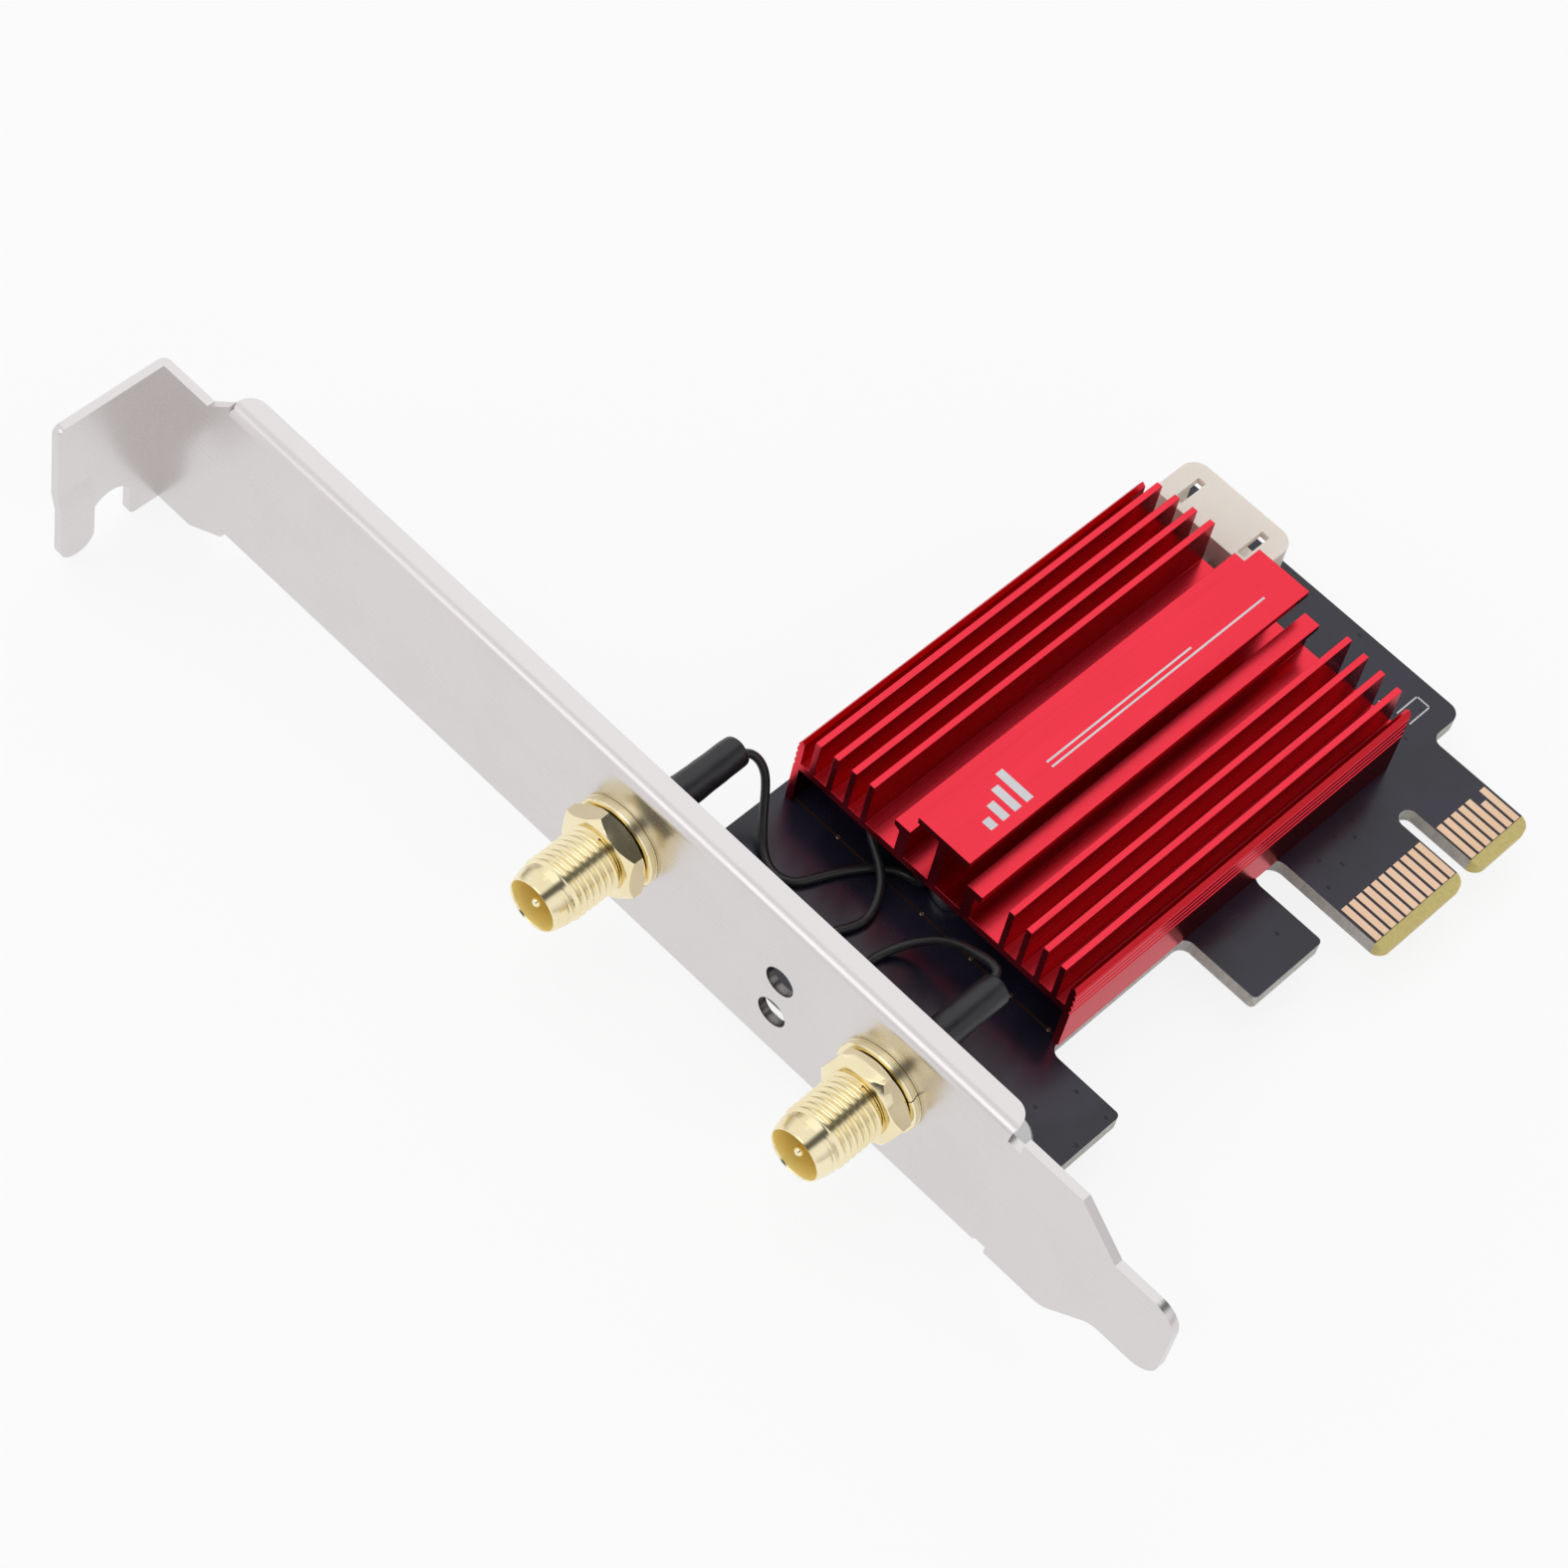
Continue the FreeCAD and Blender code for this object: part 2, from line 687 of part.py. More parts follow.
def build_board():
    """Circuit board with two plain legs, the key notch and the bevelled contact edge."""
    body = new_body("circuit_board")
    key_left = size.key_from_bracket - size.key_width / 2
    key_right = size.key_from_bracket + size.key_width / 2
    outline = [(size.board_start, size.leg_bottom), (size.near_leg_end, size.leg_bottom),
               (size.near_leg_end, size.recess_y), (size.middle_leg_start, size.recess_y),
               (size.middle_leg_start, size.leg_bottom), (middle_leg_end, size.leg_bottom),
               (middle_leg_end, size.slot_top), (edge_start, size.slot_top),
               (edge_start, ZERO), (key_left, ZERO), (key_left, size.key_depth),
               (key_right, size.key_depth), (key_right, ZERO), (edge_end, ZERO),
               (edge_end, size.far_ledge_y), (size.board_end, size.far_ledge_y),
               (size.board_end, size.board_top), (size.board_start, size.board_top)]
    add_block(body, "sheet", "XY_Plane", board_bottom, ZERO, [outline])
    round_edges(body, "board_corners", "Z",
                [(size.board_end, size.board_top), (size.board_start, size.board_top)],
                size.board_corner_radius)
    round_edges(body, "recess_corners", "Z",
                [(size.near_leg_end, size.recess_y), (size.middle_leg_start, size.recess_y)],
                size.recess_radius)
    round_edges(body, "leg_corners", "Z",
                [(size.board_start, size.leg_bottom), (size.near_leg_end, size.leg_bottom),
                 (size.middle_leg_start, size.leg_bottom), (middle_leg_end, size.leg_bottom)],
                size.leg_corner_radius)
    round_edges(body, "slot_end", "Z",
                [(middle_leg_end, size.slot_top), (edge_start, size.slot_top)],
                size.slot_radius)
    round_edges(body, "edge_corners", "Z",
                [(edge_start, ZERO), (key_left, ZERO), (key_right, ZERO), (edge_end, ZERO),
                 (edge_end, size.far_ledge_y)], size.edge_corner_radius)
    round_edges(body, "key_end", "Z",
                [(key_left, size.key_depth), (key_right, size.key_depth)], size.key_radius)
    round_edges(body, "far_corner", "Z",
                [(size.board_end, size.far_ledge_y)], size.far_corner_radius)
    past = size.bevel_height
    for name, face, slope in (("top_bevel", ZERO, -1), ("bottom_bevel", board_bottom, 1)):
        inner = face + size.bevel_depth * slope
        wedge = [(-past, face - past * slope), (size.bevel_height, face - past * slope),
                 (size.bevel_height, face), (ZERO, inner), (-past, inner)]
        cut_block(body, name, "YZ_Plane", edge_start - past, edge_end + past, [wedge])
    screw_holes = [(column, row, size.sink_screw_radius + size.hole_clearance)
                   for column in boss_columns for row in boss_rows]
    fixing_holes = [(size.fixing_hole_from_face, row,
                     size.fixing_screw_radius + size.hole_clearance) for row in fixing_rows]
    pin_holes = [(pin_column, row, size.pin_width * 0.5 * math.sqrt(2) + size.hole_clearance)
                 for row in pin_rows]
    cut_block(body, "holes", "XY_Plane", board_bottom, ZERO,
              circles=screw_holes + fixing_holes + pin_holes)


def build_contacts():
    """Gold contacts on both faces of the contact edge, on one pitch either side of the key."""
    offsets = [-size.first_contact_from_key - size.contact_pitch * i
               for i in reversed(range(CONTACTS_LEFT))]
    offsets += [size.first_contact_from_key + size.contact_pitch * i
                for i in range(CONTACTS_RIGHT)]
    last = len(offsets) - 1
    sides = (("component", ZERO, size.contact_gauge, last - 1),
             ("solder", board_bottom - size.contact_gauge, board_bottom, 0))
    for side, low, high, short in sides:
        pads = []
        for number, offset in enumerate(offsets):
            centre = size.key_from_bracket + offset
            half = size.contact_width / 2
            top = size.short_contact_high if number == short else size.contact_high
            pads.append(box("%s_contact_%02d" % (side, number + 1),
                            (centre - half, centre + half), (size.contact_low, top),
                            (low, high)))
        group("edge_contacts_%s_side" % side, pads)


def wall_outline(side):
    """Outer heatsink wall with shallow ribs; side is 1 above the centre line, -1 below."""
    def at(offset, level):
        return (size.sink_centre_y + offset * side, level)
    outer = size.sink_half_width
    inner = outer - size.sink_wall
    points = [at(inner, ZERO), at(outer, ZERO)]
    for i in range(RIBS_PER_WALL):
        groove = size.sink_rib_first + size.sink_rib_pitch * i
        half = size.sink_rib_pitch / 4
        points += [at(outer, groove - half), at(outer - size.sink_rib_depth, groove - half / 2),
                   at(outer - size.sink_rib_depth, groove + half / 2), at(outer, groove + half)]
    points += [at(outer - size.sink_wall_lean, size.sink_wall_top),
               at(inner, size.sink_wall_top - size.sink_wall_lean)]
    return points


def build_heatsink():
    """Heatsink: one extrusion, a channel over the module with fins, rails and a platform."""
    body = new_body("heatsink")
    start, end = size.sink_start, sink_end
    centre = size.sink_centre_y
    roof_high = size.sink_roof_low + size.sink_roof_gauge
    outer = size.sink_half_width - size.sink_wall / 2
    roof = [(centre - outer, size.sink_roof_low), (centre + outer, size.sink_roof_low),
            (centre + outer, roof_high), (centre - outer, roof_high)]
    add_block(body, "roof", "YZ_Plane", start, end, [roof])
    for name, side in (("high_wall", 1), ("low_wall", -1)):
        add_block(body, name, "YZ_Plane", start, end, [wall_outline(side)])
    low = size.sink_roof_low + size.sink_roof_gauge / 2
    fins = []
    for side in (1, -1):
        for i in range(FINS_PER_SIDE):
            middle = centre + (size.first_fin_offset + size.fin_pitch * i) * side
            half = size.fin_gauge / 2
            top = size.inner_fin_top - size.fin_drop * i
            fins.append([(middle - half, low), (middle + half, low),
                         (middle + half, top), (middle - half, top)])
    add_block(body, "fins", "YZ_Plane", start, end, fins)
    rails = []
    for side in (1, -1):
        stem_in = size.rail_inner
        stem_out = stem_in + size.rail_stem
        reach = stem_out + size.rail_reach
        under = size.rail_top - size.rail_gauge
        rails.append([(centre + stem_in * side, low), (centre + stem_out * side, low),
                      (centre + stem_out * side, under - size.rail_reach / 2),
                      (centre + reach * side, under), (centre + reach * side, size.rail_top),
                      (centre + stem_in * side, size.rail_top)])
    add_block(body, "rails", "YZ_Plane", start, end, rails)
    web, wide = size.web_half_width, size.platform_half_width
    shelf = size.platform_top - size.platform_gauge
    platform = [(centre - web, low), (centre + web, low), (centre + web, shelf),
                (centre + wide, shelf), (centre + wide, size.platform_top),
                (centre - wide, size.platform_top), (centre - wide, shelf),
                (centre - web, shelf)]
    add_block(body, "platform", "YZ_Plane", start, end, [platform])
    add_block(body, "bosses", "XY_Plane", ZERO, size.sink_roof_low + size.sink_roof_gauge / 2,
              circles=[(column, row, size.boss_radius)
                       for column in boss_columns for row in boss_rows])
    cut_block(body, "boss_holes", "XY_Plane", ZERO, size.sink_screw_reach + size.hole_clearance,
              circles=[(column, row, size.sink_screw_radius)
                       for column in boss_columns for row in boss_rows])


def build_screws():
    """Screws of the heatsink and of the bracket's fixing tabs."""
    screws = []
    for number, (column, row) in enumerate(
            [(column, row) for column in boss_columns for row in boss_rows], start=1):
        shank = rod("sink_shank_%d" % number, column, row, board_bottom, size.sink_screw_reach,
                    size.sink_screw_radius)
        head = rod("sink_head_%d" % number, column, row,
                   board_bottom - size.sink_screw_head_height, board_bottom,
                   size.sink_screw_head_radius)
        screws.append(join("sink_screw_%d" % number, [shank, head]))
    group("heatsink_screws", screws)

    screws = []
    for number, row in enumerate(fixing_rows, start=1):
        column = size.fixing_hole_from_face
        shank = rod("fixing_shank_%d" % number, column, row, run_low - size.fixing_screw_tip,
                    ZERO, size.fixing_screw_radius)
        head = rod("fixing_head_%d" % number, column, row, ZERO, size.fixing_head_height,
                   size.fixing_head_radius)
        screws.append(join("fixing_screw_%d" % number, [shank, head]))
    group("bracket_screws", screws)


def build_jack(name, row):
    """One antenna jack with its insulator, centre pin, washer, nut, ferrule and sleeve."""
    where = {"y": row, "z": size.jack_height}
    mouth = -size.jack_reach
    chamfer = size.thread_radius - size.mouth_radius
    nut_front = -size.washer_gauge - size.nut_gauge
    body = new_body("antenna_jack_" + name, **where)
    flange_end = bracket_inner + size.flange_gauge
    bore_end = mouth + size.mouth_bore_depth
    turn_profile(body, "barrel", [
        (mouth, size.mouth_bore_radius), (mouth, size.mouth_radius),
        (mouth + chamfer, size.nose_radius), (-size.thread_end, size.nose_radius),
        (-size.thread_end, size.thread_radius), (nut_front, size.thread_radius),
        (nut_front, size.pitch_radius), (bracket_inner, size.pitch_radius),
        (bracket_inner, size.flange_radius), (flange_end, size.flange_radius),
        (flange_end, size.rear_barrel_radius), (size.rear_barrel_end, size.rear_barrel_radius),
        (size.rear_barrel_end, size.crimp_tail_radius),
        (size.crimp_tail_end, size.crimp_tail_radius),
        (size.crimp_tail_end, size.crimp_bore_radius), (size.rear_barrel_end, size.crimp_bore_radius),
        (size.rear_barrel_end - size.hole_clearance, size.mouth_bore_radius)])

    insulator = new_body("jack_insulator_" + name, **where)
    turn_profile(insulator, "plug", [
        (bore_end, size.centre_pin_radius), (bore_end, size.insulator_radius),
        (size.rear_barrel_end - size.hole_clearance, size.insulator_radius),
        (size.rear_barrel_end - size.hole_clearance, size.centre_pin_radius)])

    pin = new_body("jack_pin_" + name, **where)
    turn_profile(pin, "pin", [
        (-size.centre_pin_tip, ZERO), (-size.centre_pin_tip, size.centre_pin_radius / 2),
        (-size.centre_pin_tip + size.centre_pin_radius, size.centre_pin_radius),
        (size.rear_barrel_end - size.hole_clearance, size.centre_pin_radius),
        (size.rear_barrel_end - size.hole_clearance, ZERO)])

    inside = size.thread_radius + size.hole_clearance / 4
    washer = new_body("lock_washer_" + name, **where)
    turn_profile(washer, "ring", [
        (-size.washer_gauge, inside), (-size.washer_gauge, size.washer_radius),
        (ZERO, size.washer_radius), (ZERO, inside)])
    split_half = size.washer_split / 2
    split = [(-split_half, -size.washer_radius - split_half), (split_half, -size.washer_radius - split_half),
             (split_half, ZERO), (-split_half, ZERO)]
    cut_block(washer, "split", "YZ_Plane", -size.washer_gauge * 2, size.washer_gauge, [split])

    nut = new_body("jack_nut_" + name, **where)
    corner = size.nut_across_flats / math.sqrt(3)
    hexagon = [(corner * math.cos(math.radians(60 * i)), corner * math.sin(math.radians(60 * i)))
               for i in range(6)]
    hexagon = [(x, ZERO if abs(y.value) < 1e-9 else y) for x, y in hexagon]
    add_block(nut, "hexagon", "YZ_Plane", nut_front, -size.washer_gauge, [hexagon])
    past = corner + size.washer_gauge
    groove_profile(nut, "front_chamfer", [
        (nut_front - size.washer_gauge, size.nut_chamfer_radius),
        (nut_front, size.nut_chamfer_radius - size.nut_chamfer_length),
        (nut_front + size.nut_chamfer_length, corner), (nut_front + size.nut_chamfer_length, past),
        (nut_front - size.washer_gauge, past)])
    cut_block(nut, "thread_hole", "YZ_Plane", nut_front, -size.washer_gauge,
              circles=[(ZERO, ZERO, size.pitch_radius)])

    ferrule = new_body("crimp_ferrule_" + name, **where)
    tail = size.crimp_tail_radius
    turn_profile(ferrule, "tube", [
        (size.rear_barrel_end, tail), (size.rear_barrel_end, tail + size.ferrule_gauge),
        (size.crimp_tail_end, tail + size.ferrule_gauge), (size.crimp_tail_end, tail)])

    sleeve = new_body("heatshrink_sleeve_" + name, **where)
    skin = size.sleeve_gauge
    snug = tail + size.ferrule_gauge
    over = size.rear_barrel_radius
    fold = bracket_inner + size.flange_gauge
    turn_profile(sleeve, "sleeve", [
        (fold, over), (fold, over + skin), (size.rear_barrel_end + skin, over + skin),
        (size.sleeve_step, snug + skin), (size.sleeve_shoulder, snug + skin),
        (size.sleeve_end, size.sleeve_tip_radius), (size.sleeve_end, ZERO),
        (size.sleeve_shoulder, ZERO), (size.crimp_tail_end, snug), (size.rear_barrel_end, snug),
        (size.rear_barrel_end, over)])


def lead_wire(points):
    """Straight runs joined by tangent arcs, each arc as large as its two runs allow."""
    knots = [FreeCAD.Vector(*point) for point in points]
    edges = []
    start = knots[0]
    for before, corner, after in zip(knots, knots[1:], knots[2:]):
        to_corner, from_corner = corner - before, after - corner
        half_turn = to_corner.getAngle(from_corner) / 2
        trim = LEAD_ARC_SHARE * min(to_corner.Length, from_corner.Length)
        radius = trim / math.tan(half_turn)
        ahead = FreeCAD.Vector(to_corner).normalize()
        away = FreeCAD.Vector(from_corner).normalize()
        enter, leave = corner - ahead * trim, corner + away * trim
        inward = (away - ahead).normalize()
        centre = corner + inward * (radius / math.cos(half_turn))
        middle = centre - inward * radius
        edges.append(Part.LineSegment(start, enter).toShape())
        edges.append(Part.Arc(enter, middle, leave).toShape())
        start = leave
        print("  lead arc radius %.2f mm, turn %.0f degrees"
              % (radius, math.degrees(half_turn * 2)))
    edges.append(Part.LineSegment(start, knots[-1]).toShape())
    return Part.Wire(edges)


def build_lead(label, points):
    """Coax lead: a round tube along its whole route."""
    print(label)
    wire = lead_wire(points)
    direction = FreeCAD.Vector(*points[1]) - FreeCAD.Vector(*points[0])
    ring = Part.Wire(Part.Circle(FreeCAD.Vector(*points[0]), direction,
                                 size.lead_radius.value).toShape())
    lead = doc.addObject("Part::Feature", label)
    lead.Label = label
    lead.Shape = wire.makePipeShell([ring], True, False)
    lead.Placement = FreeCAD.Placement()
    expected = math.pi * size.lead_radius.value ** 2 * wire.Length
    print("  length %.2f mm, volume %.2f of %.2f mm3"
          % (wire.Length, lead.Shape.Volume, expected))
    if abs(lead.Shape.Volume / expected - 1) > 0.01:
        raise ValueError(label + " has the wrong volume")
    NODES.append(lead)


def build_header():
    """Cable header that opens towards the card's far edge, with its bent pins."""
    body = new_body("cable_header")
    start, end = header_start, header_end
    low = size.header_centre_y - size.header_half_width
    high = size.header_centre_y + size.header_half_width
    outline = [(start, low), (end, low), (end, high), (start, high)]
    add_block(body, "shell", "XY_Plane", ZERO, size.header_height, [outline])
    round_edges(body, "shell_corners", "Z", [(end, low), (end, high)],
                size.header_corner_radius)
    wall = size.header_wall
    cavity = [(start + size.header_back_wall, low + wall), (end + wall, low + wall),
              (end + wall, high - wall), (start + size.header_back_wall, high - wall)]
    cut_block(body, "cavity", "XY_Plane", wall, size.header_height - wall, [cavity])
    window_end = end - size.header_window_from_mouth
    windows = []
    for side in (-1, 1):
        middle = size.header_centre_y + size.header_window_offset * side
        half = size.header_window_width / 2
        windows.append([(window_end - size.header_window_length, middle - half),
                        (window_end, middle - half), (window_end, middle + half),
                        (window_end - size.header_window_length, middle + half)])
    cut_block(body, "windows", "XY_Plane", size.header_height - wall, size.header_height,
              windows)
    half = size.pin_width / 2
    slots = [[(row - half, size.pin_height - half), (row + half, size.pin_height - half),
              (row + half, size.pin_height + half), (row - half, size.pin_height + half)]
             for row in pin_rows]
    cut_block(body, "pin_slots", "YZ_Plane", start, start + size.header_back_wall, slots)

    pins = []
    for number, row in enumerate(pin_rows, start=1):
        across = (row - half, row + half)
        lying = box("pin_blade_%d" % number, (pin_column - half, end - size.pin_tip_gap), across,
                    (size.pin_height - half, size.pin_height + half))
        standing = box("pin_leg_%d" % number, (pin_column - half, pin_column + half), across,
                       (board_bottom - size.pin_tail, size.pin_height))
        pins.append(join("header_pin_%d" % number, [lying, standing]))
    group("header_pins", pins)


def build_module():
    """Wireless module: its board, shield, chip, socket, standoff, screw and thermal pad."""
    centre = size.sink_centre_y
    half = size.module_width / 2
    tongue_half = half - size.module_tongue_inset
    tongue_start = module_end - size.module_tongue_length
    low, top = size.module_height, module_top
    board = new_body("module_board")
    outline = [(module_start, centre - half), (tongue_start, centre - half),
               (tongue_start, centre - tongue_half), (module_end, centre - tongue_half),
               (module_end, centre + tongue_half), (tongue_start, centre + tongue_half),
               (tongue_start, centre + half), (module_start, centre + half)]
    add_block(board, "sheet", "XY_Plane", low, top, [outline])
    cut_block(board, "screw_notch", "XY_Plane", low, top,
              circles=[(module_start, centre, size.module_notch_radius)])

    chip_middle = shield_low_x + size.shield_length / 2
    chip_half = size.chip_size / 2
    chip = new_body("radio_chip")
    add_block(chip, "package", "XY_Plane", top, top + size.chip_height, [[
        (chip_middle - chip_half, centre - chip_half), (chip_middle + chip_half, centre - chip_half),
        (chip_middle + chip_half, centre + chip_half), (chip_middle - chip_half, centre + chip_half)]])

    shield = new_body("module_shield")
    wide = size.shield_width / 2
    shield_end = shield_low_x + size.shield_length
    gauge = size.shield_gauge
    add_block(shield, "can", "XY_Plane", top, shield_top, [[
        (shield_low_x, centre - wide), (shield_end, centre - wide),
        (shield_end, centre + wide), (shield_low_x, centre + wide)]])
    cut_block(shield, "inside", "XY_Plane", top, shield_top - gauge, [[
        (shield_low_x + gauge, centre - wide + gauge), (shield_end - gauge, centre - wide + gauge),
        (shield_end - gauge, centre + wide - gauge), (shield_low_x + gauge, centre + wide - gauge)]])

    pad = new_body("thermal_pad")
    add_block(pad, "pad", "XY_Plane", shield_top, size.sink_roof_low, [[
        (shield_low_x + gauge, centre - wide + gauge), (shield_end - gauge, centre - wide + gauge),
        (shield_end - gauge, centre + wide - gauge), (shield_low_x + gauge, centre + wide - gauge)]])

    socket = new_body("module_socket")
    gap = size.socket_clearance
    socket_start = tongue_start + gap
    socket_end = socket_start + size.socket_depth
    socket_half = size.socket_width / 2
    add_block(socket, "housing", "XY_Plane", ZERO, size.socket_height, [[
        (socket_start, centre - socket_half), (socket_end, centre - socket_half),
        (socket_end, centre + socket_half), (socket_start, centre + socket_half)]])
    cut_block(socket, "card_slot", "XY_Plane", low, top, [[
        (socket_start - gap, centre - tongue_half), (module_end, centre - tongue_half),
        (module_end, centre + tongue_half), (socket_start - gap, centre + tongue_half)]])
    tails = []
    for number in range(SOCKET_TAILS):
        middle = centre + size.tail_pitch * (number - (SOCKET_TAILS - 1) / 2)
        tails.append(box("socket_tail_%02d" % (number + 1),
                         (socket_end, socket_end + size.tail_length),
                         (middle - size.tail_width / 2, middle + size.tail_width / 2),
                         (ZERO, size.tail_gauge)))
    group("socket_contacts", tails)

    standoff = new_body("module_standoff")
    add_block(standoff, "post", "XY_Plane", ZERO, low,
              circles=[(module_start, centre, size.standoff_radius)])
    cut_block(standoff, "thread", "XY_Plane", ZERO, low,
              circles=[(module_start, centre, size.module_screw_radius)])
    shank = rod("module_shank", module_start, centre, ZERO, top, size.module_screw_radius)
    head = rod("module_head", module_start, centre, top,
               top + size.module_screw_head_height, size.module_screw_head_radius)
    group("module_screw", [join("module_screw_solid", [shank, head])])

    plug_x = module_start + size.plug_from_end
    plug_rows = {"upper": centre + size.plug_high_offset,
                 "lower": centre + size.plug_high_offset - size.plug_pitch}
    receptacles = []
    rim = size.receptacle_side / 2
    for name, row in plug_rows.items():
        foot = box("receptacle_foot_" + name, (plug_x - rim, plug_x + rim),
                   (row - rim, row + rim), (top, top + size.receptacle_gauge))
        stud = rod("receptacle_stud_" + name, plug_x, row, top,
                   top + size.receptacle_height, size.receptacle_radius)
        receptacles.append(join("receptacle_" + name, [foot, stud]))
    group("antenna_receptacles", receptacles)
    plug_low = top + size.receptacle_gauge
    plug_top = plug_low + size.plug_height
    arm = size.plug_arm_width / 2
    arm_low = plug_top - size.lead_radius * 2
    for name, row in plug_rows.items():
        plug = new_body("coax_plug_" + name)
        add_block(plug, "cap", "XY_Plane", plug_low, plug_top,
                  circles=[(plug_x, row, size.plug_radius)])
        add_block(plug, "arm", "XY_Plane", arm_low, plug_top, [[
            (module_start, row - arm), (plug_x, row - arm),
            (plug_x, row + arm), (module_start, row + arm)]])
        cut_block(plug, "mouth", "XY_Plane", plug_low, top + size.receptacle_height,
                  circles=[(plug_x, row, size.receptacle_radius)])


def build_capacitors():
    """Row of small ceramic capacitors on the board under the heatsink."""
    pieces = []
    width = size.capacitor_width
    row = size.sink_centre_y - size.sink_half_width + size.capacitor_from_sink_side
    for number in range(CAPACITORS):
        middle = sink_end - size.capacitor_from_sink_end - size.capacitor_pitch * number
        pieces.append(box("capacitor_%d" % (number + 1),
                          (middle - size.capacitor_length / 2, middle + size.capacitor_length / 2),
                          (row, row + width), (ZERO, width)))
    group("chip_capacitors", pieces)


def check_document():
    """Stops if any object failed or any sub-part has no sound shape."""
    doc.recompute()
    failed = [item.Name for item in doc.Objects
              if "Invalid" in item.State or "Error" in item.State]
    unsound = [node.Label for node in NODES
               if node.Shape.isNull() or not node.Shape.isValid() or not node.Shape.Solids]
    if failed or unsound:
        raise RuntimeError("failed objects: %s; unsound shapes: %s" % (failed, unsound))


build_bracket()
build_board()
build_contacts()
build_heatsink()
build_screws()
for jack_name, jack_row in jack_rows.items():
    build_jack(jack_name, jack_row)
build_header()
build_module()
build_capacitors()
build_lead("coax_lead_upper", LEAD_UPPER_POINTS)
build_lead("coax_lead_lower", LEAD_LOWER_POINTS)
check_document()

os.makedirs("parts", exist_ok=True)
for node in NODES:
    node.Shape.exportStep("parts/%s.step" % node.Label)
    print("%-32s %3d solids %10.2f mm3" % (node.Label, len(node.Shape.Solids), node.Shape.Volume))
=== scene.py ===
"""Dressed model of a wireless network card: bracket, board, red heatsink and antenna jacks."""

import logging
import math
from abc import ABC, abstractmethod
from collections.abc import Sequence
from dataclasses import dataclass, field
from enum import Enum
from functools import cached_property

import bpy
from mathutils import Matrix, Vector


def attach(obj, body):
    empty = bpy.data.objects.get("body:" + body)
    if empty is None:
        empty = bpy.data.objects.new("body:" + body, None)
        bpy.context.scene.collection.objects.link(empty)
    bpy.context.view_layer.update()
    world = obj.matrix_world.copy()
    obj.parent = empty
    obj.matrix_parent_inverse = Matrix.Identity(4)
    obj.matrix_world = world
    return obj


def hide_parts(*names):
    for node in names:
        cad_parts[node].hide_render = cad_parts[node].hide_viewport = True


MM = 0.001
KEY_FROM_BRACKET = 58.6
DOUBLES_MM = 0.002
NODE_DOUBLES_MM = 0.0015
FLAT_DEGREES = 1.0

log = logging.getLogger("wireless_card")

Point = tuple[float, float, float]
Colour = tuple[float, float, float]
Socket = bpy.types.NodeSocket


class Jack(Enum):
    """The two antenna jacks, by the height of their axis above the contact edge."""

    UPPER = 47.7
    LOWER = 17.3

    @property
    def label(self) -> str:
        """Name that the jack's nodes end in."""
        return self.name.lower()


class Grain(Enum):
    """How fast a metal's marks change along X, Y and Z."""

    ALONG_BRACKET = (1.0, 0.02, 1.0)
    ROUND_JACK = (1.0, 0.03, 0.03)
    EVEN = (1.0, 1.0, 1.0)


def point(x: float, y: float, z: float) -> Vector:
    """A place in the card's frame, with x counted from the bracket's outer face.

    Args:
        x: Distance behind the bracket's outer face, in millimetres.
        y: Height above the contact edge, in millimetres.
        z: Distance out of the component side, in millimetres.

    Returns:
        The same place in metres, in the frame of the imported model.
    """
    return Vector(((x - KEY_FROM_BRACKET) * MM, y * MM, z * MM))


# Finishes


